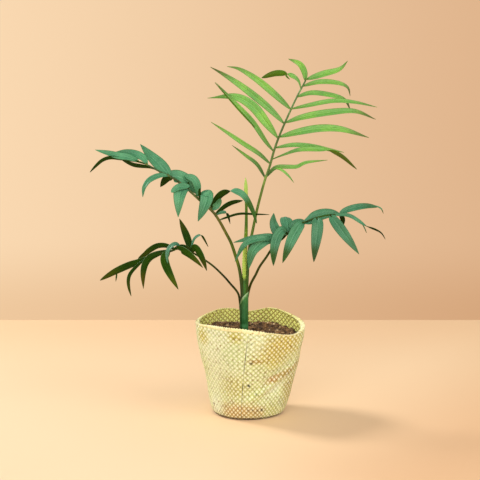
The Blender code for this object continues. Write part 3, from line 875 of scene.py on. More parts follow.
@dataclass
class WovenPlanter:
    """A soft basket plaited on the slant from palm strips, with a rolled rim and a plaited base."""
    profile: tuple = (                   # height, outer radius
        (0, 38), (1.5, 40.3), (5, 42.6), (12, 45.1), (22, 47.7), (35, 50.1),
        (50, 53.4), (65, 57.4), (80, 60.6), (94, 62.4), (114, 63.4))
    rims: tuple = (                      # degrees from +X, rim height
        (0, 101.8), (20, 106.6), (42, 110.6), (66, 111.3), (91, 106.1), (112, 110.6), (132, 112),
        (158, 108), (182, 105.2), (212, 107), (240, 107.8), (262, 107.9), (292, 102.9), (330, 96.6))
    lean: float = 2.6
    lean_top: float = 46
    squareness: float = 0.10
    flatness: float = 0.06
    square_height: float = 34
    round_base: float = 0.15
    corner_angle: float = math.radians(-92)
    corner_twist: float = math.radians(-10)
    corner_top: float = 100
    fold_depth: float = 1.6
    fold_width: float = 9
    fold_angle: float = math.radians(-38)
    fold_height: float = 44
    fold_slope: float = 0.9
    columns: int = 54                    # crossings in a row around the wall
    row: float = 5.8                     # distance between rows of one family, up the wall
    middle: float = 0.75                 # the plait's middle, in from the outer surface
    ridge_angle: float = math.radians(-50)   # the crest below the fold
    ridge_height: float = 43
    ridge_slope: float = 0.57
    ridge_width: float = 4.5
    ridge_rise: float = 2.2
    ridge_reach: float = 34
    trough_off: float = 2.2              # the hollow above the crest, in widths of the crest
    trough_width: float = 1.3
    trough_depth: float = 0.7
    drift_scale: float = 0.35            # how the strips stray from straight rows
    drift: float = 0.16
    drift_depth: float = 1.2
    seam_depth: float = 0.9
    seam_width: float = 0.9
    roll: float = 0.85                   # the rim's roll: its radius, and its swell over each fold
    fold_swell: tuple = (0.72, 1.04, 1.16, 1.04, 0.72)
    roll_sink: float = 0.3
    serration: float = 0.3
    lip_fall: float = 0.25
    lap: float = 1.7                     # how much taller the roll is where it overlaps
    lap_sink: float = 0.7
    lap_bulge: float = 0.3
    lap_start: float = -172
    lap_end: float = -74
    lap_ease: float = 45
    lips: tuple = (                      # degrees from +X, how far in the rim's fold reaches
        (0, 4.5), (18, 3.2), (38, 1.0), (60, 0.3), (140, 0.3), (160, 1.2), (178, 3.2), (192, 2.6),
        (205, 0.6), (300, 0.2), (322, 0.8), (340, 3.2), (360, 4.5))
    rim_front: str = "fffce0"
    rim_back: str = "e0dc94"
    base_radius: float = 38.6
    base_height: float = 1.75
    plait: Plait = field(default_factory=Plait)
    patches: tuple = (
        Patch(-144, 70, 36, 38, "f8fae0"), Patch(-112, 76, 15, 14, "e4ecc0"),
        Patch(-159, 93, 8, 9, "dccb58"), Patch(-108, 99, 8, 6, "dcca5c"),
        Patch(-115, 38, 20, 14, "d8cd84"), Patch(-83, 92, 11, 13, "f2f4d8"),
        Patch(-62, 68, 16, 9, "dcd27c"), Patch(-48, 86, 30, 16, "dabc4c", 14),
        Patch(-84, 71, 9, 3, "c09a3c"), Patch(-76, 62, 10, 5, "e4e6b0"),
        # painted light on the fold below the wall's ridge: the thin pale band at -38 degrees is a painted
        # highlight along the crest, the brown bands at -33 and -56 degrees painted shade in the hollow above
        # it
        Patch(-38, 41, 36, 5, "fafade", 22), Patch(-33, 53, 34, 3.6, "c0983a", 18),
        Patch(-56, 47, 8, 3.5, "ca9650", 18), Patch(-20, 32, 15, 20, "c8b264"),
        Patch(-80, 30, 12, 10, "dcde9c"), Patch(-107, 10, 30, 10, "d0a262"),
        Patch(-76, 9, 14, 7, "d0aa68"), Patch(-150, 13, 13, 11, "fdfdee"),
        Patch(-52, 12, 12, 9, "d8d48c"),
        Patch(20, 60, 30, 22, "ccb868"), Patch(75, 90, 26, 16, "e6e49c"),
        Patch(120, 40, 30, 20, "d0bc7c"), Patch(175, 60, 20, 26, "e2e8ac"))
    flecks: tuple = (                    # small dark marks where a fibre has split
        Patch(-92, 42, 2.2, 1.7, "241f04", 0, 1, 0), Patch(-90, 69, 2.0, 1.3, "54541e", 0, 0.95, 0),
        Patch(-88, 92, 1.5, 1.1, "6a6a3c", 0, 0.9, 0), Patch(-82, 32, 1.8, 1.2, "5c5a22", 0, 0.9, 0),
        Patch(-70, 12, 2.0, 1.5, "443210", 0, 1, 0), Patch(-91, 13, 1.4, 1.2, "644620", 0, 0.9, 0),
        Patch(-84, 13, 1.4, 1.2, "644620", 0, 0.9, 0), Patch(-77, 12, 1.4, 1.2, "644620", 0, 0.9, 0),
        Patch(-158, 13, 1.8, 1.5, "70704c", 0, 0.9, 0), Patch(-110, 97, 1.3, 1.1, "8c7628", 0, 0.9, 0),
        Patch(-103, 97, 1.3, 1.1, "8c7628", 0, 0.9, 0))
    ground: str = "eaecbe"
    # darker brown where the wall turns under: partly the foot's own brown, partly painted contact shadow
    foot_brown_and_shadow: str = "5a2e10"           # where the wall turns under
    foot_height: float = 3.4
    climbs: list = field(default_factory=lambda: [0.0], init=False)

    def __post_init__(self) -> None:
        """Measure the way up the wall at each millimetre of height."""
        for height in range(int(self.profile[-1][0])):
            swell = smooth_lookup(self.profile, height + 1) - smooth_lookup(self.profile, height)
            self.climbs.append(self.climbs[-1] + math.hypot(1, swell))

    def height_at(self, climb: float) -> float:
        """The height that a way up the wall reaches."""
        for height, (low, high) in enumerate(zip(self.climbs, self.climbs[1:])):
            if climb <= high:
                return height + (climb - low) / (high - low)
        return float(len(self.climbs) - 1)

    def climb_to(self, height: float) -> float:
        """The way up the wall to a height."""
        whole = int(height)
        return self.climbs[whole] + (self.climbs[whole + 1] - self.climbs[whole]) * (height - whole)

    def rim_height(self, angle: float) -> float:
        """The rim's height at an angle around it."""
        wrapped = [(a - 360, h) for a, h in self.rims[-2:]] + list(self.rims)
        wrapped += [(a + 360, h) for a, h in self.rims[:2]]
        return smooth_lookup(wrapped, math.degrees(angle) % 360)

    def wall(self, angle: float, height: float) -> Vector:
        """A point of the wall's outer surface, in millimetres."""
        corner = self.corner_angle + self.corner_twist * max(0.0, 1 - height / self.corner_top)
        square = self.round_base + (1 - self.round_base) * min(1.0, height / self.square_height)
        radius = smooth_lookup(self.profile, height)
        radius *= 1 - square * self.squareness * (1 - math.cos(4 * (angle - corner))) / 2
        radius *= 1 - square * self.flatness * math.sin(angle) ** 2
        around = math.remainder(angle - self.fold_angle, math.tau) * radius
        off_fold = around * self.fold_slope - (height - self.fold_height)
        radius -= self.fold_depth * bell(off_fold, self.fold_width) * min(1.0, height / self.fold_height)
        lean = self.lean * min(1.0, height / self.lean_top)
        return Vector((lean + radius * math.cos(angle), radius * math.sin(angle), height))

    def reach(self, angle: float, climb: float) -> Vector:
        """A point up the wall, or under the base where `climb` is negative, in millimetres."""
        if climb >= 0:
            return self.wall(angle, self.height_at(climb))
        foot = self.wall(angle, 0)
        return foot + climb * Vector((math.cos(angle), math.sin(angle), 0))

    def angle_of(self, column: float) -> float:
        """The angle of a place along a row, from the front corner."""
        return math.radians(-90) + math.tau * column / self.columns

    def wrapped(self, co: Vector) -> Vector:
        """Where a point of the flat plait lies on the wall, in metres."""
        spot = Vector((co.x * self.drift_scale, co.y * self.drift_scale, 5.0))
        drift = noise.noise_vector(spot) * self.drift
        angle = self.angle_of(co.x + drift.x)
        rim = self.climb_to(self.rim_height(angle))
        climb = min((co.y + drift.y) * self.row, rim)
        point = self.reach(angle, climb)
        side = self.reach(angle + 0.01, climb) - point
        outward = side.cross(point - self.reach(angle, climb - 0.5)).normalized()
        depth = co.z / MM - self.middle + self.drift_depth * drift.z
        around = math.remainder(angle - self.ridge_angle, math.tau) * point.xy.length
        off_ridge = around * self.ridge_slope - (point.z - self.ridge_height)
        trough = bell(off_ridge + self.trough_off * self.ridge_width, self.trough_width * self.ridge_width)
        crest = bell(off_ridge, self.ridge_width) - self.trough_depth * trough
        depth += self.ridge_rise * crest * math.exp(-(around / self.ridge_reach) ** 4)
        if point.y < SEAM_Y and point.z < SEAM_TOP:
            seam = SEAM_FOOT + SEAM_SLOPE * point.z + SEAM_CURVE * point.z ** 2
            depth -= self.seam_depth * bell(point.x - seam, self.seam_width)
        return (point + outward * depth) * MM

    def colour(self, co: Vector, rise: Rise) -> Colour:
        """The strips' colour at a place of the flat plait."""
        angle = math.degrees(math.remainder(self.angle_of(co.x), math.tau))
        height = self.height_at(max(0.0, co.y * self.row))
        shade = hexed(self.ground)
        for patch in self.patches:
            roughness = noise.noise(Vector((co.x * 1.3, co.y * 1.3, patch.height)))
            shade = blended(shade, hexed(patch.colour), patch.share(angle, height, roughness))
        lane = round(co.x - co.y) if rise is Rise.RIGHT else round(co.x + co.y) + 40
        tone = 1 + 0.16 * noise.noise(Vector((lane * 3.7, co.y * 0.5, 1.5)))
        tone += 0.14 * noise.noise(Vector((co.x * 2.1, co.y * 2.1, 8.5)))
        shade = tuple(clamped(channel * tone) for channel in shade)
        for fleck in self.flecks:
            shade = blended(shade, hexed(fleck.colour), fleck.share(angle, height, 0))
        # the foot darkens to brown: partly its own colour, partly painted contact shadow
        foot = max(0.0, min(0.9, 2 * (1 - height / self.foot_height)))
        return blended(shade, hexed(self.foot_brown_and_shadow), foot)

    def finish_strips(self, piece: Piece, tint: Callable[[Vector], Colour], place: Callable[[Vector], Vector],
                      finishes: Sequence[bpy.types.Material], nodes: Sequence[str] = ()) -> None:
        """Colour a flat family of strips, put it in its place and make it solid.

        Args:
            piece: The strips.
            tint: Their colour at a place of the flat plait.
            place: Where such a place lies on the planter.
            finishes: The finish of the side that looks up on the flat plait, and of the other.
            nodes: CAD nodes that the piece replaces.
        """
        piece.tint("tint", tint)
        piece.put(place)
        piece.wear(*finishes)
        piece.modify("SOLIDIFY", thickness=self.plait.thickness, offset=0, material_offset=1)
        piece.hand_over("woven_palm_strip", *nodes)

    def build_strips(self, name: str, rise: Rise, finishes: Sequence[bpy.types.Material],
                     nodes: Sequence[str] = ()) -> None:
        """One family of the wall's strips, cut off at the rim.

        Args:
            name: The piece's name.
            rise: The family.
            finishes: The outer and the inner finish.
            nodes: CAD nodes that it replaces.
        """
        def past_rim(face: bmesh.types.BMFace) -> bool:
            """Whether a face lies past the rim."""
            centre = face.calc_center_median()
            return centre.y * self.row > self.climb_to(self.rim_height(self.angle_of(centre.x)))

        piece = self.plait.strips(name, rise, -2, 42, 0.0, self.columns)
        piece.cut_away(past_rim)
        self.finish_strips(piece, lambda co: self.colour(co, rise), self.wrapped, finishes, nodes)

    def build_rim(self, finish: bpy.types.Material) -> None:
        """The rim: a roll of small folds, one for each strip that turns over."""
        swell = self.fold_swell
        piece = Piece("planter_rim", bpy.ops.mesh.primitive_circle_add, vertices=8, radius=self.roll,
                      rotation=(0, math.pi / 2, 0))
        with piece.editing("SELECT"):
            piece.scale(1, swell[0], swell[0])
            piece.extrude_ring(1 / (len(swell) - 1), swell)
        piece.note("crossing", lambda co: co.x - 0.5)
        piece.repeat(2 * self.columns, use_merge_vertices=True)

        def around(co: Vector) -> Vector:
            """Where a point of the straight roll lies on the rim."""
            angle = self.angle_of(co.x / 2)
            height = self.rim_height(angle)
            point = self.wall(angle, height)
            outward = Vector((math.cos(angle), math.sin(angle), 0))
            slant = self.serration * math.sin(math.tau * co.x)
            turn = math.degrees(math.remainder(angle, math.tau))
            lap = clamped((turn - self.lap_start) / self.lap_ease) * clamped(self.lap_end - turn)
            rise = co.z * (1 + self.lap * lap) + slant - self.roll_sink - self.lap_sink * lap
            lip = smooth_lookup(self.lips, turn % 360) * (0.5 - co.y / (2 * self.roll))
            return (point + outward * (co.y * (1 + self.lap_bulge * lap) - self.middle - lip)
                    + Vector((0, 0, rise - self.lip_fall * lip))) * MM

        def fold_colour(co: Vector) -> Colour:
            """The roll's colour: cream at the front, and straw at the back."""
            back = max(0.0, math.sin(self.angle_of(co.x / 2)))
            crest = blended(hexed(self.rim_front), hexed(self.rim_back), min(1.0, 2.5 * back))
            return blended(self.colour(Vector((co.x / 2, 18, 0)), Rise.RIGHT), crest, 0.7)

        piece.tint("tint", fold_colour)
        piece.put(around)
        with piece.editing("SELECT"):
            bpy.ops.mesh.remove_doubles(threshold=0.02 * MM)
            piece.face_outward()
        piece.wear(finish)
        piece.smooth_out()
        piece.hand_over("woven_palm_strip")

    def build_base(self, name: str, rise: Rise, finishes: Sequence[bpy.types.Material]) -> None:
        """One family of the base's strips, trimmed to its outline.

        Args:
            name: The piece's name.
            rise: The family.
            finishes: The finish of the upper and the under side.
        """
        reach = math.ceil(self.base_radius / self.row * math.sqrt(2))
        piece = self.plait.strips(name, rise, -2 * reach, 2 * reach, -2.0 * reach, 4 * reach + 1)
        piece.cut_away(lambda face: face.calc_center_median().xy.length * self.row > self.base_radius)
        self.finish_strips(
            piece, lambda co: self.colour(Vector((co.x, 1.5, 0)), rise),
            lambda co: Vector((co.x * self.row * MM, co.y * self.row * MM, co.z + self.base_height * MM)),
            finishes)

    def build(self) -> None:
        """Plait the wall and the base, and roll the rim."""
        outer = StripFinish("palm_strip_outside", "fbffe2", "e4eacc", 0.8).material()
        # the inside's yellow pads and dark olive edges are partly the strips' inner side and partly painted
        # light: a painted glow for light through the wall and painted shade in the gaps
        inner = StripFinish("palm_strip_inside", "ffff94", "a89430", 1.0, start=0.05, glow=0.1).material()
        fold = StripFinish("palm_strip_fold", "fcfce4", "f8f4da", 0.5).material()
        self.build_strips("planter_strips_rising_right", Rise.RIGHT, (outer, inner), ("woven_planter",))
        self.build_strips("planter_strips_rising_left", Rise.LEFT, (outer, inner))
        self.build_rim(fold)
        self.build_base("base_strips_rising_right", Rise.RIGHT, (inner, outer))
        self.build_base("base_strips_rising_left", Rise.LEFT, (inner, outer))


# --- soil ----------------------------------------------------------------------------------------

@dataclass
class PottingSoil:
    """The soil that fills the planter, with crumbs and pale chips lying on it."""
    top_from: float = 88 * MM            # above this the soil's surface is loosened
    cuts: int = 5
    lump_size: float = 7 * MM
    lump_height: float = 2.4 * MM
    grit_size: float = 1.8 * MM
    grit_height: float = 1.1 * MM
    crumbs: int = 1300
    chips: int = 130
    reach: float = 55 * MM
    heaps: tuple = (                     # X, Y, radius and height, in millimetres
        (-34, 12, 17, 4.5), (30, -34, 20, -3.5), (22, 36, 16, 4))
    centre_x: float = 2.6 * MM
    stem_x: float = -4.7 * MM
    stem_room: float = 5.6 * MM
    roughness: float = 0.42              # of a crumb, by its radius
    smallness: float = 2.2               # how much more often a crumb is small than large
    tip: float = 0.15                    # how far a crumb tips over
    lift: float = 0.25                   # how high its middle lies, by its radius
    seed: int = 7

    def heaped(self, co: Vector) -> Vector:
        """Where a point of the soil lies, once its top is heaped up or worn down in places."""
        rise = 0.0
        if co.z > self.top_from:
            for x, y, radius, height in self.heaps:
                rise += height * math.exp(-((co.x / MM - x) ** 2 + (co.y / MM - y) ** 2) / radius ** 2)
        return co + Vector((0, 0, rise * MM))

    def build_bed(self) -> Piece:
        """The soil itself, from its CAD form with a loosened top."""
        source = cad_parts["potting_soil"]
        bed = Piece.from_mesh("soil_bed", source.data.copy())
        with bed.editing("SELECT"):
            bpy.ops.mesh.remove_doubles(threshold=EPSILON)
            bed.face_outward()
            bed.pick_faces(lambda face: face.normal.z > 0.5 and face.calc_center_median().z > self.top_from)
            bpy.ops.mesh.subdivide(number_cuts=self.cuts)
        top = bed.shape.vertex_groups.new(name="top")
        loose = [v.index for v in bed.shape.data.vertices if v.co.z > self.top_from and v.normal.z > 0.5]
        top.add(loose, 1.0, "REPLACE")
        for label, size, height in (("soil_lumps", self.lump_size, self.lump_height),
                                    ("soil_grit", self.grit_size, self.grit_height)):
            texture = bpy.data.textures.new(label, "CLOUDS")
            texture.noise_scale = size
            texture.noise_depth = 2
            bed.modify("DISPLACE", texture=texture, strength=height, mid_level=0.5, direction="Z",
                       vertex_group="top", texture_coords="LOCAL")
        bed.put(self.heaped)
        bed.wear(EarthFinish("soil", "3a240e", "7c5628").material())
        bed.hand_over("potting_soil", "potting_soil")
        return bed

    def pattern(self, name: str, stretch: tuple, seed: int) -> bpy.types.Mesh:
        """One crumb or chip, roughened from a ball and left unlinked.

        Args:
            name: Its name.
            stretch: Its size along each axis, in units of its own.
            seed: Seed of its roughness.

        Returns:
            The mesh.
        """
        piece = Piece(name, bpy.ops.mesh.primitive_ico_sphere_add, subdivisions=2, radius=1)
        with piece.editing("SELECT"):
            bpy.ops.transform.vertex_random(offset=self.roughness, seed=seed)
            piece.scale(*stretch)
        mesh = piece.shape.data
        bpy.data.objects.remove(piece.shape, do_unlink=True)
        return mesh

    def scatter(self, name: str, bed: Piece, count: int, stretches: Sequence[tuple],
                sizes: tuple[float, float], finish: bpy.types.Material, seed: int) -> None:
        """Lie copies of a few patterns on the soil, joined in one piece.

        Args:
            name: The piece's name.
            bed: What they lie on.
            count: How many.
            stretches: The patterns' proportions.
            sizes: The smallest and the largest radius.
            finish: Their finish.
            seed: Seed of their places.
        """
        draw = random.Random(seed)
        patterns = [self.pattern(f"{name}_{i}", stretch, seed + i) for i, stretch in enumerate(stretches)]
        ground = BVHTree.FromObject(bed.shape, bpy.context.evaluated_depsgraph_get())
        copies: list[Piece] = []
        while len(copies) < count:
            angle, share = draw.uniform(0, math.tau), math.sqrt(draw.random())
            place = Vector((self.centre_x + self.reach * share * math.cos(angle),
                            self.reach * share * math.sin(angle), 0.2))
            size = sizes[0] + (sizes[1] - sizes[0]) * draw.random() ** self.smallness
            turn = [draw.uniform(0, math.tau) for _ in range(3)]
            hit = ground.ray_cast(place, Vector((0, 0, -1)))[0]
            if hit is None or hit.z < self.top_from:
                continue
            if (hit.xy - Vector((self.stem_x, 0))).length < self.stem_room:
                continue
            mesh = draw.choice(patterns).copy()
            spin = Matrix.Rotation(turn[0], 4, "Z") @ Matrix.Rotation(turn[1] * self.tip, 4, "X")
            mesh.transform(Matrix.Translation(hit + Vector((0, 0, size * self.lift))) @ spin
                           @ Matrix.Scale(size, 4))
            copies.append(Piece.from_mesh(name, mesh))
        copies[0].absorb(copies[1:])
        for mesh in patterns:
            bpy.data.meshes.remove(mesh)
        copies[0].wear(finish)
        copies[0].hand_over("potting_soil", sharp=30)

    def build(self) -> None:
        """Build the soil and what lies on it."""
        bed = self.build_bed()
        crumb = EarthFinish("soil_crumb", "402a12", "a07848").material()
        chip = EarthFinish("bark_chip", "a88450", "ecd0a0", 0.8).material()
        self.scatter("soil_crumbs", bed, self.crumbs, ((1, 0.8, 0.7), (1.2, 0.8, 0.6), (0.9, 0.9, 0.8)),
                     (0.7 * MM, 2.6 * MM), crumb, self.seed)
        self.scatter("bark_chips", bed, self.chips, ((1.4, 0.7, 0.35), (1.1, 0.8, 0.4)),
                     (0.9 * MM, 2.5 * MM), chip, self.seed + 20)


# --- stem and spear ------------------------------------------------------------------------------

def carried_uppers(points: Sequence[Vector], first: Vector) -> list[Vector]:
    """An upper side carried along a path without twist.

    Args:
        points: The path.
        first: Which way the upper side looks at its start.

    Returns:
        The upper side at each point.
    """
    upper, uppers = first.copy(), []
    for i in range(len(points)):
        ahead = (points[min(i + 1, len(points) - 1)] - points[max(i - 1, 0)]).normalized()
        upper = (upper - upper.dot(ahead) * ahead).normalized()
        uppers.append(upper.copy())
    return uppers


@dataclass
class SheathedStem:
    """The young palm's stem: a cane, the sheaths that wrap it, and the spear in their mouth."""
    axis_x: float = -4.7
    cane: tuple = (                      # height, radius
        (86, 5.0), (90, 4.95), (95, 4.8), (99, 4.72), (100.4, 4.95), (101.4, 4.98), (102.4, 4.75),
        (108, 4.7), (116, 4.68), (124, 4.6), (130, 4.3), (136, 3.9), (142, 3.2), (148, 2.5))
    lower: tuple = (
        (104, 4.8), (112, 4.88), (120, 4.9), (128, 4.88), (134, 4.82), (140, 4.75), (146, 4.7))
    upper: tuple = (
        (122, 4.45), (130, 4.42), (136, 4.35), (142, 4.25), (148, 4.1), (154, 3.75), (160, 3.3))
    spear: tuple = ((-4.2, 0, 152), (-4.2, 0, 158.3), (-4.0, 0.2, 170), (-3.4, 0.4, 190), (-2.4, 0.6, 210),
                    (-2.1, 0.8, 232), (-2.4, 1.0, 248), (-2.7, 1.2, 262), (-3.0, 1.3, 271.3))
    spear_widths: tuple = ((0, 2.5), (0.1, 2.9), (0.25, 2.9), (0.4, 2.4), (0.6, 1.85), (0.75, 1.75),
                           (0.85, 2.3), (0.93, 2.0), (1, 0.3))
    flare: float = 0.07                  # how far a sheath's mouth stands off, by its radius
    flare_length: float = 2.5
    droop: float = 5.0                   # how much lower a mouth hangs on the left
    sides: int = 28
    spear_steps: int = 60

    def tube(self, name: str, rings: Sequence[tuple[float, float]], drift: float = 0.0) -> Piece:
        """A tube around the stem's axis, extruded ring by ring.

        Args:
            name: The piece's name.
            rings: Height and radius of each ring.
            drift: How far the axis moves to +X from the first ring to the last.

        Returns:
            The open tube, in metres.
        """
        low, radius = rings[0]
        piece = Piece(name, bpy.ops.mesh.primitive_circle_add, vertices=self.sides, radius=radius * MM,
                      location=(self.axis_x * MM, 0, low * MM))
        step = drift / (len(rings) - 1)
        with piece.editing("SELECT"):
            for i, ((low, radius), (high, wider)) in enumerate(zip(rings, rings[1:]), 1):
                piece.extrude(step * MM, 0, (high - low) * MM)
                centre = ((self.axis_x + step * i) * MM, 0, high * MM)
                piece.scale(wider / radius, wider / radius, 1, centre)
            piece.face_outward()
        return piece

    def build_cane(self) -> None:
        """The cane, closed at both ends, with its leaf scar."""
        piece = self.tube("stem_cane", self.cane, 0.5)
        foot, top = self.cane[0][0], self.cane[-1][0]
        piece.note("along", lambda co: (co.z / MM - foot) / (top - foot))
        with piece.editing():
            for height in (foot * MM, top * MM):
                piece.pick(lambda co: abs(co.z - height) < EPSILON)
                bpy.ops.mesh.edge_face_add()
            piece.face_outward()
        shades = ((0.0, "1f5224"), (1.0, "3c7a2c"), (0.2, "2f6b3a"), (0.24, "4a8a58"), (0.27, "2f6b3a"))
        piece.wear(StalkFinish("cane", shades, "6f9a60").material())
        piece.smooth_out()
        piece.hand_over("green_stem", "stem")

    def build_sheath(self, name: str, rings: Sequence[tuple[float, float]], mouth: tuple[float, float, float],
                     drift: float, finish: bpy.types.Material) -> None:
        """A sheath: a tube cut on the slant at its mouth, with a thin lip.

        Args:
            name: The piece's name.
            rings: Height and radius of each ring.
            mouth: Height of the mouth on the axis, and its slopes along X and Y.
            drift: How far its axis moves to +X on the way up.
            finish: Its finish.
        """
        height, slope_x, slope_y = mouth
        piece = self.tube(name, rings, drift)

        def below(co: Vector) -> float:
            """How far a point lies below the mouth, in millimetres."""
            return height + slope_x * (co.x / MM - self.axis_x) + slope_y * co.y / MM - co.z / MM

        def flared(co: Vector) -> Vector:
            """Where a point lies once the mouth stands off a little."""
            near = math.exp(-below(co) / self.flare_length)
            axis = self.axis_x * MM
            off = max(0.0, (axis - co.x) / (rings[0][1] * MM))
            return Vector((axis + (co.x - axis) * (1 + self.flare * near), co.y * (1 + self.flare * near),
                           co.z - self.droop * MM * near * off ** 3))

        with piece.editing("SELECT"):
            bpy.ops.mesh.bisect(plane_co=(self.axis_x * MM, 0, height * MM),
                                plane_no=(-slope_x, -slope_y, 1), clear_outer=True)
        piece.note("along", lambda co: 1 - below(co) / (height - rings[0][0]))
        piece.put(flared)
        piece.wear(finish)
        piece.modify("SOLIDIFY", thickness=0.55 * MM, offset=-1)
        piece.modify("BEVEL", width=0.15 * MM, segments=2, limit_method="ANGLE")
        piece.hand_over("green_stem")

    def build_spear(self) -> None:
        """The closed leaf: a pleated rod that opens a little at its tip."""
        points = spaced([Vector(p) * MM for p in self.spear], self.spear_steps)
        radii = [smooth_lookup(self.spear_widths, i / self.spear_steps) * MM
                 for i in range(self.spear_steps + 1)]
        piece = stalk("spear", points, radii, 14, groove=0.35, flat=0.8,
                      uppers=carried_uppers(points, Vector((0.5, -1, 0))))
        # the darker stretch from 0.42 to 0.74 of the way up is painted shade
        shades = ((0.0, "9cba44"), (1.0, "a8cc60"), (0.06, "c6e464"), (0.3, "d0ec6c"), (0.42, "84a428"),
                  (0.55, "456a0e"), (0.74, "567c18"), (0.84, "aed060"))
        piece.wear(StalkFinish("spear_leaf", shades, "c8de84", streaks=0.35, relief=0.08).material())
        piece.smooth_out()
        piece.hand_over("spear_leaf", "spear_leaf")

    def build(self) -> None:
        """Build the cane, the two sheaths and the spear."""
        self.build_cane()
        # the lower sheath's pale colour from 0.95 of the way up is a painted highlight on its lip
        lower = ((0.0, "2c6434"), (1.0, "b4d0a4"), (0.5, "2f6c38"), (0.86, "3c7c3c"), (0.95, "9cc090"))
        upper = ((0.0, "2c6420"), (1.0, "7c8a3c"), (0.45, "2c5e16"), (0.8, "427a28"), (0.92, "406e20"))
        self.build_sheath("lower_sheath", self.lower, (135.5, 1.35, -0.2), 0.35,
                          StalkFinish("lower_sheath", lower, "6f9a60").material())
        self.build_sheath("upper_sheath", self.upper, (156.5, 0.35, 0.2), 0.5,
                          StalkFinish("upper_sheath", upper, "6a5a30").material())
        self.build_spear()


# --- fronds --------------------------------------------------------------------------------------

@dataclass(frozen=True)
class Blade:
    """One blade of a frond.

    Attributes:
        name: Its name, after its frond's.
        at: Where it leaves the rachis, on the frond's spacing axis.
        width: Its greatest width.
        face: Which way its upper side looks at the base.
        points: What its midrib passes, after its root.
        tip_face: Which way the upper side looks at the tip, where the blade turns over.
        widest: The share of its length where it is widest.
        root: Where it starts, for a small blade that the CAD model leaves out.
        tone: How light it is, against its frond.
        dim: How far its base lies in the shade of the others.
        tip_age_and_shade: How far its tip has darkened.
        turn: The share of its length where it turns over, for one that does so sharply.
        fold: How deep its fold is.
        taper: How soon it narrows; a lower value keeps it broad towards its tip.
    """
    name: str
    at: float
    width: float
    face: tuple
    points: tuple
    tip_face: tuple | None = None
    widest: float = 0.4
    root: tuple | None = None
    tone: float = 1.0
    dim: float = 0.0
    tip_age_and_shade: float = 0.5
    turn: float | None = None
    fold: float = 1.0
    taper: float = 0.9

    STEPS = 24
    THICKNESS = 0.45 * MM
    BASE_WIDTH = 1.3
    TIP_WIDTH = 0.35
    TURN_SPAN = 0.3
    RIPPLE = 0.25                        # how much its fold deepens and flattens along it
    RIPPLE_TURNS = 9                     # in radians over its length
    DIM_REACH = 1 / 1.6                  # the share of its length that is dimmed
    SECTION = (0.07, 0.062, 0.018, -0.07, 0.018, 0.062, 0.07)   # lift across it, by its width

    def half_width(self, share: float) -> float:
        """Half its width at a share of its length, in millimetres."""
        rise = self.taper * self.widest / (1 - self.widest)
        lance = (share / self.widest) ** rise * ((1 - share) / (1 - self.widest)) ** self.taper
        stalk_width = self.BASE_WIDTH + (self.TIP_WIDTH - self.BASE_WIDTH) * share
        return 0.5 * math.hypot(self.width * lance, stalk_width)

    def midrib(self, root: Vector) -> list[Vector]:
        """Its midrib from the rachis' axis to its tip."""
        start = Vector(self.root) * MM if self.root else root
        return spaced([start, *(Vector(p) * MM for p in self.points)], self.STEPS)

    def uppers(self) -> list[Vector]:
        """Which way its upper side looks along the midrib."""
        first = Vector(self.face).normalized()
        last = Vector(self.tip_face or self.face).normalized()
        shares = [i / self.STEPS for i in range(self.STEPS + 1)]
        if self.turn is not None:
            shares = [clamped((share - self.turn) / self.TURN_SPAN + 0.5) for share in shares]
        return [first.lerp(last, share) for share in shares]

    def build(self, frond: str, root: Vector, finishes: Sequence[bpy.types.Material], slot: str,
              shade: float) -> None:
        """Cut the blade from a flat sheet, fold it at its ribs and bend it along its midrib.

        Args:
            frond: The frond's name.
            root: Where the blade leaves the rachis.
            finishes: The upper and the under finish.
            slot: The record's material slot.
            shade: How light its surroundings are.
        """
        line = self.midrib(root)
        length = path_length(line)
        name = f"{frond}_blade_{self.name}"
        columns = len(self.SECTION) - 1
        piece = Piece(name, bpy.ops.mesh.primitive_grid_add, x_subdivisions=self.STEPS,
                      y_subdivisions=columns, size=1)
        with piece.editing("SELECT"):
            piece.shift(x=0.5)
            piece.scale(length, 1, 1)
            for column, lift in enumerate(self.SECTION):
                piece.pick(lambda co: round((co.y + 0.5) * columns) == column)
                piece.shift(z=lift * self.fold)
            for row in range(self.STEPS + 1):
                share = row / self.STEPS
                width = 2 * self.half_width(share) * MM
                ripple = 1 + self.RIPPLE * math.sin(self.RIPPLE_TURNS * share + self.at)
                piece.pick(lambda co: round(co.x / length * self.STEPS) == row)
                piece.scale(1, width, width * ripple)
        # painted light: the blade's tone is its own lightness times how light its frond's surroundings are,
        # with painted shade over its base by dim
        tone = self.tone * shade
        piece.note("tone", lambda co: tone * (1 - self.dim * clamped(1 - co.x / length / self.DIM_REACH)))
        # the tip's darkening: partly withering, partly painted shade where the tip turns away
        piece.note("tip_age_and_shade", lambda co: self.tip_age_and_shade)
        bend(piece, line, self.uppers())
        piece.wear(*finishes)
        piece.modify("SOLIDIFY", thickness=self.THICKNESS, offset=0, material_offset=1)
        piece.smooth_out()
        nodes = () if self.root else (f"{frond}_leaflet_{self.name}",)
        piece.hand_over(slot, *nodes)


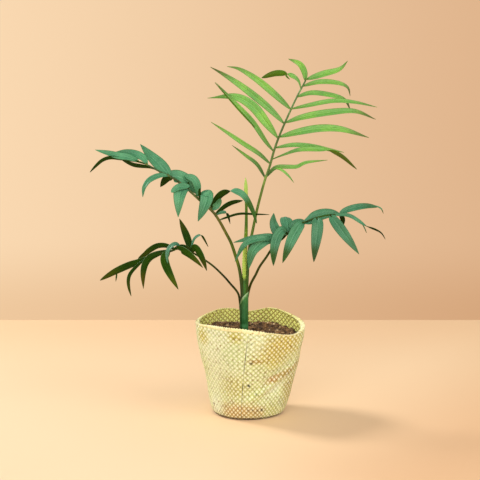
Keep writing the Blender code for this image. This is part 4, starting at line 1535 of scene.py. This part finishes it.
@dataclass(frozen=True)
class Frond:
    """A petiole that runs on as a rachis, with its blades."""
    name: str
    axis: int
    points: tuple
    base_radius: float
    tip_radius: float
    finish: str
    blades: tuple
    # how light the frond's surroundings are, as painted light and shade over all its blades
    tone: float = 1.0

    STEPS = 60
    SIDES = 14
    TAPER = 1.5
    FOOT_SWELL = 0.45                    # of the foot that clasps the stem, in millimetres
    FOOT_REACH = 0.05
    TONE_SPREAD = 0.07                   # between one blade and another
    KNUCKLE = (0.95, 1.05, 0.85, 0.6, 0.4)
    KNUCKLE_LENGTH = 3.6 * MM

    def line(self) -> list[Vector]:
        """The axis of the petiole and rachis."""
        return spaced([Vector(p) * MM for p in self.points], self.STEPS)

    def root_of(self, line: Sequence[Vector], place: float) -> Vector:
        """Where the rachis passes a value of the spacing axis."""
        for a, b in zip(reversed(line[:-1]), reversed(line[1:])):
            low, high = sorted((a[self.axis], b[self.axis]))
            if low <= place <= high:
                return a.lerp(b, (place - a[self.axis]) / (b[self.axis] - a[self.axis]))
        return line[-1].copy()

    def build_stalk(self, line: Sequence[Vector], finish: bpy.types.Material, into: Vector) -> None:
        """The petiole and rachis, channelled above, with a foot that clasps the stem.

        Args:
            line: Its axis.
            finish: Its finish.
            into: Which way the stem lies from its foot.
        """
        radii = []
        for i in range(len(line)):
            share = i / self.STEPS
            plain = self.base_radius + (self.tip_radius - self.base_radius) * share ** self.TAPER
            radii.append((plain + self.FOOT_SWELL * bell(share, self.FOOT_REACH)) * MM)
        piece = stalk(f"{self.name}_stalk", line, radii, self.SIDES, groove=0.3,
                      uppers=carried_uppers(line, into))
        piece.wear(finish)
        piece.smooth_out()
        piece.hand_over("young_petiole", f"{self.name}_rachis")

    def build_knuckles(self, line: Sequence[Vector], finish: bpy.types.Material) -> None:
        """The small swellings where the blades leave the rachis, joined in one piece."""
        knuckles = []
        for blade in self.blades:
            if blade.root:
                continue
            midrib = blade.midrib(self.root_of(line, blade.at * MM))
            ahead = (midrib[1] - midrib[0]).normalized()
            steps = len(self.KNUCKLE) - 1
            points = [midrib[0] + ahead * self.KNUCKLE_LENGTH * i / steps for i in range(steps + 1)]
            knuckles.append(stalk(f"{self.name}_knuckles", points, [r * MM for r in self.KNUCKLE], 8,
                                  uppers=[Vector(blade.face)] * len(points)))
        knuckles[0].absorb(knuckles[1:])
        knuckles[0].wear(finish)
        knuckles[0].smooth_out()
        knuckles[0].hand_over("young_petiole")

    def build(self, finishes: Sequence[bpy.types.Material], petiole: bpy.types.Material,
              into: Vector) -> None:
        """Build the stalk, the knuckles and the blades.

        Args:
            finishes: The blades' upper and under finish.
            petiole: The stalk's finish.
            into: Which way the stem lies from its foot.
        """
        line = self.line()
        self.build_stalk(line, petiole, into)
        self.build_knuckles(line, petiole)
        draw = random.Random(self.name)
        for blade in self.blades:
            blade.build(self.name, self.root_of(line, blade.at * MM), finishes, self.finish,
                        self.tone * (1 + draw.uniform(-self.TONE_SPREAD, self.TONE_SPREAD)))


# the under finishes carry painted shade: they are darkened for the shade that the under sides lie in
LEAVES = (                            # upper and under side
    (LeafFinish("young_leaf_upper", "78b83c", "54983a", "9cd068", "34700f", "4c6010", tip_start=0.66),
     LeafFinish("young_leaf_under", "4a7a0a", "386406", "649018", "345c10", "4a5a0a", 0.55, 0.2)),
    (LeafFinish("mature_leaf_upper", "4f9466", "347850", "7ab890", "367e54", "285400", shine=0.32),
     LeafFinish("mature_leaf_under", "1e3a02", "122802", "345208", "163002", "203404", 0.6, 0.08)),
    (LeafFinish("shaded_leaf_upper", "488c68", "367858", "62a684", "367858", "3e5a10"),
     LeafFinish("shaded_leaf_under", "204002", "122c01", "38600a", "163002", "444408", 0.6, 0.08)))
PETIOLES = (
    StalkFinish("green_petiole", ((0.0, "2c4a06"), (1.0, "70985e"), (0.14, "365a0a"), (0.23, "547818"),
                                  (0.34, "84a02e"), (0.43, "90aa3e"), (0.56, "6c873a")), "7a9a50"),
    StalkFinish("olive_petiole", ((0.0, "364a0c"), (1.0, "3f7048"), (0.14, "48600a"), (0.3, "748c14"),
                                  (0.42, "605c0c")), "8a7a40"),
    StalkFinish("dark_petiole", ((0.0, "403e04"), (1.0, "2f5614"), (0.3, "3c4206"), (0.6, "3c500a")),
                "6a5c30", shine=0.12))

OUTWARD = (-0.15, -1, 0.35)           # upright frond: the blades face the front

UPRIGHT = Frond(
    "upright_frond", 2,
    ((-2.6, -1.2, 136), (-1.5, -2.3, 148), (-0.7, -2.9, 162), (0, -2.8, 180), (2, -2.2, 196),
     (5.2, -1, 212), (10, 0.5, 235), (15.5, 2, 256.5), (19.6, 4, 270.5), (24.6, 6, 284.5), (28.7, 8, 299.5),
     (34.3, 10, 315.5), (43.4, 13, 336.5), (55.2, 17, 361.5), (65.5, 21, 380.5)),
    1.8, 1.0, "young_leaf", (
        Blade("left_1", 270, 4.2, OUTWARD,
              ((10, 1, 286), (-3, -3, 296.5), (-18.5, -8, 308.5)), tone=0.62, dim=0.65),
        Blade("left_2", 286, 5.4, OUTWARD,
              ((12, 3, 298), (-6, -1, 310), (-24, -5, 322.5), (-42, -9, 334.5)), taper=0.85, tone=0.9,
              dim=0.45),
        Blade("left_3", 300, 6, OUTWARD,
              ((20, 6, 311), (5, 3, 333.5), (-11, 0, 351), (-37, -4, 378.5)), tone=0.9, dim=0.25),
        Blade("left_4", 314.5, 11.5, OUTWARD,
              ((20.2, 9, 332.5), (4.5, 7, 351.5), (-15.5, 4, 361.8), (-46, 0, 360.4)), taper=1.2),
        Blade("left_5", 331, 8.5, OUTWARD,
              ((21, 14, 350.5), (-6, 13, 372), (-27, 11, 386), (-43, 8, 395)), tip_age_and_shade=1.0),
        Blade("left_6", 347, 8, OUTWARD,
              ((31, 13, 363), (10, 10, 380.5), (-10, 7, 392.5), (-24, 5, 395.5)), tone=0.88),
        Blade("left_7", 370, 7.5, OUTWARD,
              ((56.4, 19.5, 379.8), (47.2, 20, 385.6), (32, 20, 387.5), (14.8, 19, 382.2)),
              tip_face=(0, 1, 0.3), widest=0.62, turn=0.45, taper=0.7),
        Blade("left_8", 379, 7, OUTWARD, ((63.5, 20, 389), (57.8, 18, 398), (45, 16, 403.8))),
        Blade("right_1", 271, 5, OUTWARD,
              ((30.5, -1, 282.6), (43.5, -3, 283.7), (55, -4, 284), (65, -7, 289), (89, -9, 291.8)),
              widest=0.35, dim=0.75),
        Blade("right_2", 291, 6.5, OUTWARD,
              ((41, 2, 297.3), (58, -2, 303), (82, -5, 303.3), (102, -7, 297.5), (122, -8, 281)),
              tip_face=(0.3, 0.9, 0.4), widest=0.6, turn=0.62, taper=0.75, tip_age_and_shade=1.0, dim=0.3),
        Blade("right_3", 304, 5.5, OUTWARD,
              ((50, 7, 307.5), (70, 5, 306.5), (90, 3, 303), (108, 1, 299.5))),
        Blade("right_4", 316, 9, OUTWARD,
              ((56, 8, 322), (81, 5, 326.4), (106, 3, 325.2), (136, 1, 316)), tip_age_and_shade=0.9),
        Blade("right_5", 332, 8, OUTWARD,
              ((61, 12, 338.5), (91, 10, 344), (120, 9, 345.5), (144, 8, 336)), tip_age_and_shade=1.0),
        Blade("right_6", 347.5, 5.5, OUTWARD,
              ((66, 12, 351.5), (95, 9, 357), (120, 7, 355.5), (145, 5, 350))),
        Blade("right_7", 361, 6, OUTWARD,
              ((71, 20, 365.5), (91, 21, 363.5), (109, 21, 358), (116, 20, 346)), taper=0.7, tip_age_and_shade=1.0),
        Blade("right_8", 373, 6, OUTWARD,
              ((80, 17, 378), (100, 15, 377), (112, 14, 372), (115, 13, 362)), tone=0.85, tip_age_and_shade=1.0),
        Blade("right_9", 400, 7.5, OUTWARD, ((85, 22, 386.7), (103, 22, 392), (112.5, 21, 401.5))),
        Blade("right_0", 0, 2.8, OUTWARD,
              ((37, -4, 280.5), (44.5, -5, 274.5), (51.5, -6, 265.8)), root=(29, -1.5, 282.3)),
        # left_3_edge shows a dark under side along left_3's edge: partly its folded edge, partly a dark strip
        # standing for the shade along it
        Blade("left_3_edge", 0, 1.9, (0, 1, 0.2),
              ((3.4, -1, 332), (-12.5, -3, 349.5), (-37.5, -6, 378)), root=(7, 0, 327.5)),
        Blade("left_7_hook", 0, 2, (0, 1, 0.3), ((43.5, 20, 384), (47, 20, 380.5)), root=(42, 20, 388)),
    ))

HIGH_LEFT = Frond(
    "high_left_frond", 0,
    ((-6.2, -1.4, 130), (-6.9, -2, 142), (-7.9, -2.8, 154), (-10.2, -3.5, 168.5), (-13.4, -5, 179.5),
     (-19.2, -6.5, 197.5), (-24.2, -8, 207.5), (-31.8, -10, 222), (-39.8, -12, 234), (-52.6, -14, 245.5),
     (-66.7, -17, 259), (-82, -20, 272), (-98.7, -23, 280.5), (-112, -25, 288), (-121, -27, 292)),
    2.1, 0.85, "mature_leaf", (
        Blade("terminal", -130, 8.5, (0, -1, 0.6),
              ((-132, -32, 297), (-143.5, -35, 298.8), (-153, -36.5, 301.6), (-168.5, -37, 305.6)),
              tip_age_and_shade=0.2),
        Blade("back_1", -112, 9.5, (0, -1, 0.6),
              ((-117, -21, 295.4), (-126.5, -18, 299.5), (-137.5, -17, 301.5), (-147.5, -17, 301.6)),
              widest=0.42, tip_age_and_shade=0.2),
        Blade("front_1", -112, 5, (-0.3, 0.9, 0.5),
              ((-123, -29, 292), (-139.2, -33, 295.2), (-151, -38, 297), (-160, -40, 294.4),
              (-167.5, -41, 288), (-174.2, -41, 281)), widest=0.62, taper=0.7),
        Blade("back_2", -88, 14.8, (0.2, -0.9, 0.4),
              ((-98.8, -15, 287), (-109.6, -9, 297), (-121.5, -1, 309)), widest=0.3, tip_age_and_shade=0.2),
        Blade("back_3", -100, 5.5, (0, 0.95, 0.4),
              ((-109, -18, 284.3), (-120, -15, 285.6), (-129, -12, 286.8), (-142, -7, 292)), widest=0.62,
              taper=0.7),
        Blade("front_2", -88, 7.4, (-0.3, -0.9, 0.5),
              ((-96.5, -26, 276.4), (-104.3, -29, 274.3), (-110.3, -33, 270.8), (-113.6, -37, 266.4),
              (-115.4, -39, 262), (-116.4, -40, 253.5)), widest=0.45, tip_age_and_shade=0.2),
        Blade("back_4", -84, 9, (-0.2, 1, 0.3), ((-91, -17, 271.5), (-98.5, -14, 262))),
        Blade("back_5", -87, 16, (0.1, -0.9, 0.5),
              ((-85, -16, 274.2), (-76, -14, 273), (-67.2, -10, 267.3), (-58.8, -6, 253.4)), widest=0.3,
              taper=0.75, tip_age_and_shade=0.2),
        Blade("front_3", -70, 16, (-0.1, -0.9, 0.4),
              ((-74, -26, 260.7), (-76.3, -32, 253.6), (-77.3, -35, 242.7), (-77.7, -37, 230.8)),
              tip_face=(-0.1, -1, 0.1), widest=0.2, tip_age_and_shade=0.3),
        Blade("front_4", -52, 15, (0, -0.5, 0.9),
              ((-49, -19, 255), (-46, -26, 252.5), (-49, -30, 242), (-56, -32, 225.5)),
              tip_face=(0, -1, 0.2), widest=0.36, tip_age_and_shade=0.3),
        Blade("back_6", -42, 9, (-0.4, 0.9, 0.2),
              ((-36, -12, 247), (-29.5, -15, 254.6), (-20, -18, 258.1), (-11, -18, 256.8), (-4, -18, 251.5),
              (4.5, -18, 236.5), (9.6, -18, 221)), tip_face=(0.3, -1, 0.4), widest=0.3, turn=0.4, taper=0.6,
              tip_age_and_shade=1.4),
        Blade("back_7", -37.5, 6.5, (-0.4, 0.8, 0.3),
              ((-30.2, -8, 236.2), (-24.2, -7, 240.6), (-17, -5, 243.5), (-6, -3, 245.4)), widest=0.5,
              taper=0.7),
        Blade("back_8", -33, 3.4, (-0.1, 0.8, 0.5),
              ((-26, -10, 226.5), (-10, -11, 231.3), (8, -12, 231), (24, -12, 230.6)), taper=0.7),
        Blade("back_5_low", 0, 9.5, (0.3, -0.9, 0.4),
              ((-61.5, -12.5, 271), (-57, -12, 262.5), (-57.5, -10, 250)), root=(-71, -14, 274.5),
              widest=0.42, taper=0.7, tip_age_and_shade=0.2),
        Blade("back_5_fold", 0, 6.5, (-0.6, 0.8, 0.2),
              ((-68.5, -16.5, 262), (-68, -16.5, 256.8)), root=(-66.5, -16, 268), widest=0.5),
        Blade("front_3_top", 0, 8, (-0.1, -0.9, 0.4),
              ((-77, -28, 263.5), (-85.5, -31.5, 258)), root=(-65.5, -23, 264.5), widest=0.5, taper=0.45,
              tip_age_and_shade=0.0),
        Blade("front_4_top", 0, 5.5, (0, -0.9, 0.4),
              ((-44.5, -23.5, 255.8), (-51, -25, 253.5)), root=(-39, -21.5, 255), widest=0.5, taper=0.45,
              tip_age_and_shade=0.0),
        Blade("front_4_fold", 0, 5.5, (-0.8, 0.6, 0.2),
              ((-54.3, -17, 254.5), (-52.6, -16.5, 246.2)), root=(-54, -17, 261), widest=0.42, taper=0.5),
        Blade("back_6_low", 0, 8, (0.5, -0.8, 0.3),
              ((-35.5, -12.5, 241), (-31, -13, 249)), root=(-42, -11.5, 237), widest=0.45, taper=0.5),
        Blade("back_7_low", 0, 4, (-0.2, -0.9, 0.4),
              ((-32.5, -9, 232), (-27.3, -9, 233), (-23.4, -9, 230.4), (-20.3, -8.5, 219.5)),
              root=(-37, -10, 229.5), tip_face=(0.2, 0.9, 0.3), turn=0.5, tone=0.75),
    ))

LOW_LEFT = Frond(
    "low_left_frond", 0,
    ((-6.2, 1.1, 106), (-8.4, 2.8, 117), (-9.5, 4, 128), (-11, 5, 136.5), (-15, 7, 142.3), (-20.4, 9, 148),
     (-27.1, 11, 155.6), (-41.3, 15, 168.5), (-57.6, 20, 178.6), (-71, 24, 185.2), (-81, 27, 185.9),
     (-91.6, 30, 182.4), (-102, 33, 179.8), (-112.3, 36, 176.4), (-120.5, 38, 173)),
    1.4, 0.75, "shaded_leaf", (
        Blade("terminal", -112, 10, (-0.2, 0.9, 0.4),
              ((-127, 38.5, 168.6), (-138, 39.5, 164.6), (-155, 41, 156.4), (-173.5, 42, 145.8)),
              widest=0.5, taper=0.7),
        Blade("front_1", -118, 5, (-0.5, 0.9, 0.2),
              ((-131.6, 33, 162), (-137.4, 31, 154.5), (-139, 29.5, 147), (-138, 28.5, 138),
              (-135.8, 28, 129.6)), widest=0.5, taper=0.75),
        Blade("front_2", -100, 9, (-0.3, 0.9, 0.2),
              ((-112.5, 32, 175.4), (-119, 29, 167.8), (-121.5, 27, 156), (-121.5, 27, 138.6)), widest=0.33,
              tip_age_and_shade=1.0),
        Blade("front_3", -91, 10, (0, 1, 0.1),
              ((-96.5, 26, 176.5), (-95.5, 25, 168), (-90.5, 22, 157), (-80.5, 20, 139)), widest=0.3,
              taper=0.8, tone=1.4),
        Blade("back_1", -84, 7.5, (-0.1, 0.9, 0.3),
              ((-95.5, 36, 188), (-106, 42, 186.5), (-115, 46, 181), (-121, 49, 175.6),
              (-129.5, 51, 169.5)), widest=0.5, taper=0.5),
        Blade("front_4", -79, 5.5, (-0.2, -0.8, 0.6),
              ((-82.5, 21, 192.4), (-88, 19, 190.6), (-92.3, 16.5, 184.8), (-93.1, 15, 178),
              (-92.4, 14, 170.5)), taper=0.7, tip_age_and_shade=0.2, tone=0.78),
        Blade("front_5", -82, 9.5, (0.2, 0.9, 0.3),
              ((-77.4, 17, 186.2), (-68, 14.5, 181), (-60.3, 12, 174.8), (-51.6, 10, 166.2)), widest=0.33,
              tone=1.3),
        Blade("back_2", -64, 9, (-0.3, 0.9, -0.1),
              ((-66.8, 27, 188), (-71, 31, 200), (-79.6, 38, 219.6)), widest=0.45),
        Blade("front_6", -64, 9, (0.3, 0.9, 0.3),
              ((-61.6, 16, 189.6), (-56.6, 13, 184), (-52, 10, 175.6), (-47.2, 8, 163)), widest=0.4,
              tone=1.1),
        Blade("back_3", 0, 3.2, (-0.2, -0.9, 0.4),
              ((-62.2, 19.5, 198), (-57.2, 20, 202.2), (-53, 21, 201.6), (-45.8, 22, 188.6)),
              root=(-65.5, 20.8, 188), tip_face=(0.3, 0.9, 0.3), widest=0.45, turn=0.55, taper=0.7,
              tone=0.85),
        Blade("rachis_cover", 0, 7, (0, 0.95, 0.3),
              ((-96, 33, 181), (-108, 36, 177.8), (-119, 39.5, 173.4)), root=(-84, 29, 184), widest=0.6,
              taper=0.6),
        Blade("base_cover", 0, 7.4, (-0.2, 0.95, 0.2),
              ((-78, 26, 187.6), (-71, 25, 186.2), (-65.5, 24, 181.6)), root=(-87, 28, 184.6), widest=0.55,
              taper=0.6),
        Blade("tip_shoot", 0, 1.6, (0, 1, 0.3),
              ((-154.2, 42, 149), (-154.8, 42, 144.6)), root=(-153.5, 42, 154), tip_age_and_shade=1.0),
    ))

RIGHT = Frond(
    "right_frond", 0,
    ((-3, 1.8, 120), (-1.2, 3.2, 132), (1.2, 4.1, 143), (3.9, 4, 150.8), (8.4, 3.5, 159), (13.1, 3, 169),
     (20.5, 2, 179.7), (26.3, 1, 189.3), (33, 0, 198), (45, -2, 207.6), (57, -4, 218.5), (65.6, -6, 221.8),
     (74.5, -8, 226), (84.4, -10, 228.8), (94, -12, 230.5), (104, -14, 230.3)),
    1.6, 0.75, "mature_leaf", (
        Blade("terminal", 102, 8, (0, -0.9, 0.5),
              ((108, -13, 235), (120.5, -11, 238.7), (134, -9, 240), (146, -8, 238.8)), widest=0.42,
              taper=0.6),
        Blade("front_1", 95, 4.4, (0.1, -0.9, 0.4),
              ((107, -18, 231.5), (115, -20, 229.8), (123, -21, 225), (131.5, -21.5, 219), (142, -22, 215),
              (149, -22.5, 211), (153.4, -23, 204)), tip_face=(0.2, 0.8, 0.5), widest=0.3, turn=0.6,
              taper=0.7, tip_age_and_shade=0.8),
        Blade("under_tip", 0, 6, (0.3, 0.9, 0.2),
              ((106, -9, 226), (107.6, -6, 217.5)), root=(103.5, -13, 230)),
        Blade("front_2", 92, 12.2, (-0.1, -1, 0.2),
              ((97, -17, 223.6), (105, -22, 213.3), (114, -27, 201.5), (123.5, -31, 188.5)), widest=0.33,
              tone=0.86),
        Blade("front_3", 77, 13.4, (0, -1, 0.3),
              ((77.8, -16, 221), (76.5, -22, 209), (74.6, -27, 195), (73, -31, 179.6)), widest=0.28,
              taper=0.8, tone=0.86, tip_age_and_shade=1.0),
        Blade("front_4", 62, 12.8, (0.1, -0.9, 0.4),
              ((57.8, -12, 218.5), (51, -17, 208), (44.5, -22, 194), (38.3, -27, 178)), widest=0.33,
              taper=0.8, tip_age_and_shade=1.0),
        Blade("front_5", 44, 11.8, (0.1, -0.8, 0.6),
              ((38.5, -9, 212.6), (32.2, -14, 204.5), (28.9, -18, 191), (28.2, -21, 173.6)),
              tip_face=(0, -1, 0.2), widest=0.36, taper=0.8, tip_age_and_shade=1.0),
        Blade("back_1", 62, 14.5, (0, -0.8, 0.6),
              ((69.8, -4, 222.8), (77.4, -1, 227), (86, 1, 229.6), (95, 2, 230.4), (104, 3, 229.6)),
              widest=0.45, taper=0.7, tip_age_and_shade=0.2),
        Blade("back_2", 50, 12, (0, -0.8, 0.6),
              ((51.8, 3, 215.8), (59.2, 6, 219.2), (68, 7, 218.4)), tip_age_and_shade=0.2),
        Blade("back_3", 46, 14.5, (0, -0.7, 0.8),
              ((44.5, 5, 217), (43, 15, 222.3), (43, 25, 223), (43.5, 32, 218)), tip_age_and_shade=0.2, fold=-0.8),
        Blade("back_4", 37, 11, (-0.2, -1, 0.2),
              ((31.5, 6, 211), (28.7, 9, 219.5), (29.2, 11, 229.6)), tip_age_and_shade=0.3),
        Blade("front_6", 36, 9, (0, -0.8, 0.6),
              ((26, -4, 204.2), (14, -8, 203.8), (1, -11, 202.9), (-17, -13, 199)), widest=0.35, tip_age_and_shade=0.3),
        Blade("front_7", 33, 8, (0, -0.8, 0.6),
              ((19, -9, 203.5), (5, -14, 202), (-5.5, -18, 196), (-15.2, -19, 178)), widest=0.4, tip_age_and_shade=0.3),
        Blade("front_8", 33, 13, (0.1, -0.9, 0.4),
              ((22, -6, 201.6), (11, -9, 195.6), (3.8, -12, 186.4), (0.4, -13, 168.5)), tone=1.18,
              tip_age_and_shade=0.5),
        Blade("front_1_split", 0, 1.5, (0.2, -0.5, 0.9),
              ((130, -20.5, 216.5), (132.5, -20.5, 211)), root=(127, -20.8, 221.8), tip_age_and_shade=1.0),
        Blade("terminal_hook", 0, 1.4, (0, -0.9, 0.5),
              ((149.5, -8, 237), (152.3, -8, 231.2)), root=(143.5, -8.2, 240), tip_age_and_shade=1.0),
        Blade("front_5_fold", 0, 7, (0.2, 0.9, 0.2),
              ((36.5, -4, 203), (31, -5, 197.5)), root=(44, -3, 209.5), widest=0.45, taper=0.6),
    ), tone=0.82)


# --- studio --------------------------------------------------------------------------------------

@dataclass(frozen=True)
class Lamp:
    """A soft square lamp."""
    name: str
    place: tuple
    aim: tuple
    size: float
    power: float
    colour: str

    def light(self) -> None:
        """Hang the lamp."""
        data = bpy.data.lights.new(self.name, "AREA")
        data.size, data.energy, data.color = self.size, self.power, hexed(self.colour)
        lamp = linked(self.name, data)
        lamp.location = self.place
        lamp.rotation_euler = (Vector(self.aim) - Vector(self.place)).to_track_quat("-Z", "Y").to_euler()


@dataclass(frozen=True)
class Studio:
    """A pale table and backdrop with painted light and shade on them, soft lamps and the camera."""
    camera_place: tuple = (-0.0093, -1.55, 0.43)
    camera_pitch: float = math.radians(90 - 8.44)
    lens: float = 103.5
    back_edge: float = 0.516
    backdrop: str = "fdddb5"
    # painted shade on the backdrop: darker to the right and towards the table
    backdrop_right_painted_shade: str = "dcaf87"
    backdrop_foot_painted_shade: str = "f4ece4"        # what the backdrop darkens by towards the table
    table: str = "f1cfa6"
    # painted light and shade on the table: darker far back and to the right, lighter at the near left
    table_far_painted_shade: str = "e9bb8c"
    table_right_painted_shade: str = "dcae82"
    table_near_painted_light: str = "f3d4ae"
    table_grain: str = "e8bf92"
    table_size: tuple = (8, 6)
    world_colour: tuple = (1.0, 0.955, 0.895)
    world_level: float = 0.43
    lamps: tuple = (
        Lamp("key_lamp", (-1.35, 0.75, 1.5), (0.0, 0.0, 0.12), 0.5, 28, "fffcf8"),
        Lamp("front_lamp", (-0.3, -2.1, 0.8), (0.0, 0.0, 0.15), 2.0, 33, "fffefc"),
        Lamp("fill_lamp", (1.2, -0.9, 1.3), (0.0, 0.0, 0.12), 1.2, 13, "fffaf0"))

    def build_table(self) -> None:
        """The table that the planter stands on, with painted shade far back and to the right, and painted
        light at the near left.
        """
        table = Piece("studio_table", bpy.ops.mesh.primitive_plane_add, size=1)
        with table.editing("SELECT"):
            table.shift(y=-0.5)
            table.scale(*self.table_size, 1)
            table.shift(y=self.back_edge)
        material, pen, shader = start_finish("studio_table")
        place = pen.split(pen.place())
        right = pen.plus(place["Y"], -0.6, place["X"])
        left = pen.plus(place["Y"], 0.8, place["X"])
        # painted shade far back and to the right, painted light at the near left
        colour = pen.mix(pen.ease(place["Y"], 0.2, 0.5, 0.0, 0.5), self.table, self.table_far_painted_shade)
        colour = pen.layered(colour, (pen.ease(right, 0.05, 0.35, 0.0, 0.8), self.table_right_painted_shade),
                             (pen.ease(left, -0.35, -0.05, 0.9, 0.0), self.table_near_painted_light),
                             (pen.times(grain(pen, 3.0, 40.0)["Broad"], 0.12), self.table_grain))
        pen.give(shader.inputs["Base Color"], colour)
        pen.give(shader.inputs["Roughness"], 0.8)
        table.wear(material)

    def build_world(self) -> None:
        """Even light all round, and the backdrop that the camera sees, with painted shade to the right and
        towards the table.
        """
        world = bpy.data.worlds.new("studio")
        bpy.context.scene.world = world
        world.use_nodes = True
        pen = NodePen(world.node_tree)
        around = world.node_tree.nodes["Background"]
        pen.give(around.inputs["Color"], self.world_colour)
        pen.give(around.inputs["Strength"], self.world_level)
        toward = pen.split(pen.add("TexCoord").outputs["Generated"])
        # painted shade: the backdrop darkens to the right and towards the table
        wall = pen.mix(pen.ease(toward["X"], -0.3, 0.3), self.backdrop, self.backdrop_right_painted_shade)
        wall = pen.dyed(pen.ease(toward["Z"], -0.2, -0.14, 1.0, 0.0), wall, self.backdrop_foot_painted_shade)
        seen = pen.add("Background", {"Color": wall, "Strength": 1.0})
        rays = pen.add("LightPath")
        choice = pen.add("MixShader", {0: rays.outputs["Is Camera Ray"], 1: around.outputs[0],
                                       2: seen.outputs[0]})
        pen.give(world.node_tree.nodes["World Output"].inputs["Surface"], choice.outputs[0])

    def build_camera(self) -> None:
        """The camera, looking slightly down from the front."""
        data = bpy.data.cameras.new("camera")
        data.lens, data.sensor_width = self.lens, 36.0
        camera = linked("camera", data)
        camera.location = self.camera_place
        camera.rotation_euler = (self.camera_pitch, 0.0, 0.0)
        bpy.context.scene.camera = camera

    def build(self) -> None:
        """Set up the whole studio."""
        self.build_camera()
        self.build_table()
        self.build_world()
        for lamp in self.lamps:
            lamp.light()
        bpy.context.scene.view_settings.view_transform = "Standard"


# --- the whole palm ------------------------------------------------------------------------------

def main() -> None:
    """Build the studio and every sub-assembly in order."""
    logging.basicConfig(level=logging.INFO, format="%(message)s", force=True)
    noise.seed_set(NOISE_SEED)
    Studio().build()
    WovenPlanter().build()
    PottingSoil().build()
    SheathedStem().build()

    young, mature, shaded = [tuple(side.material() for side in sides) for sides in LEAVES]
    green, olive, dark = [petiole.material() for petiole in PETIOLES]
    UPRIGHT.build(young, green, Vector((-1, 1, 0)))
    HIGH_LEFT.build(mature, olive, Vector((1, 1, 0)))
    LOW_LEFT.build(shaded, dark, Vector((1, -1, 0)))
    RIGHT.build(mature, dark, Vector((-1, -1, 0)))


if __name__ == "__main__":
    main()
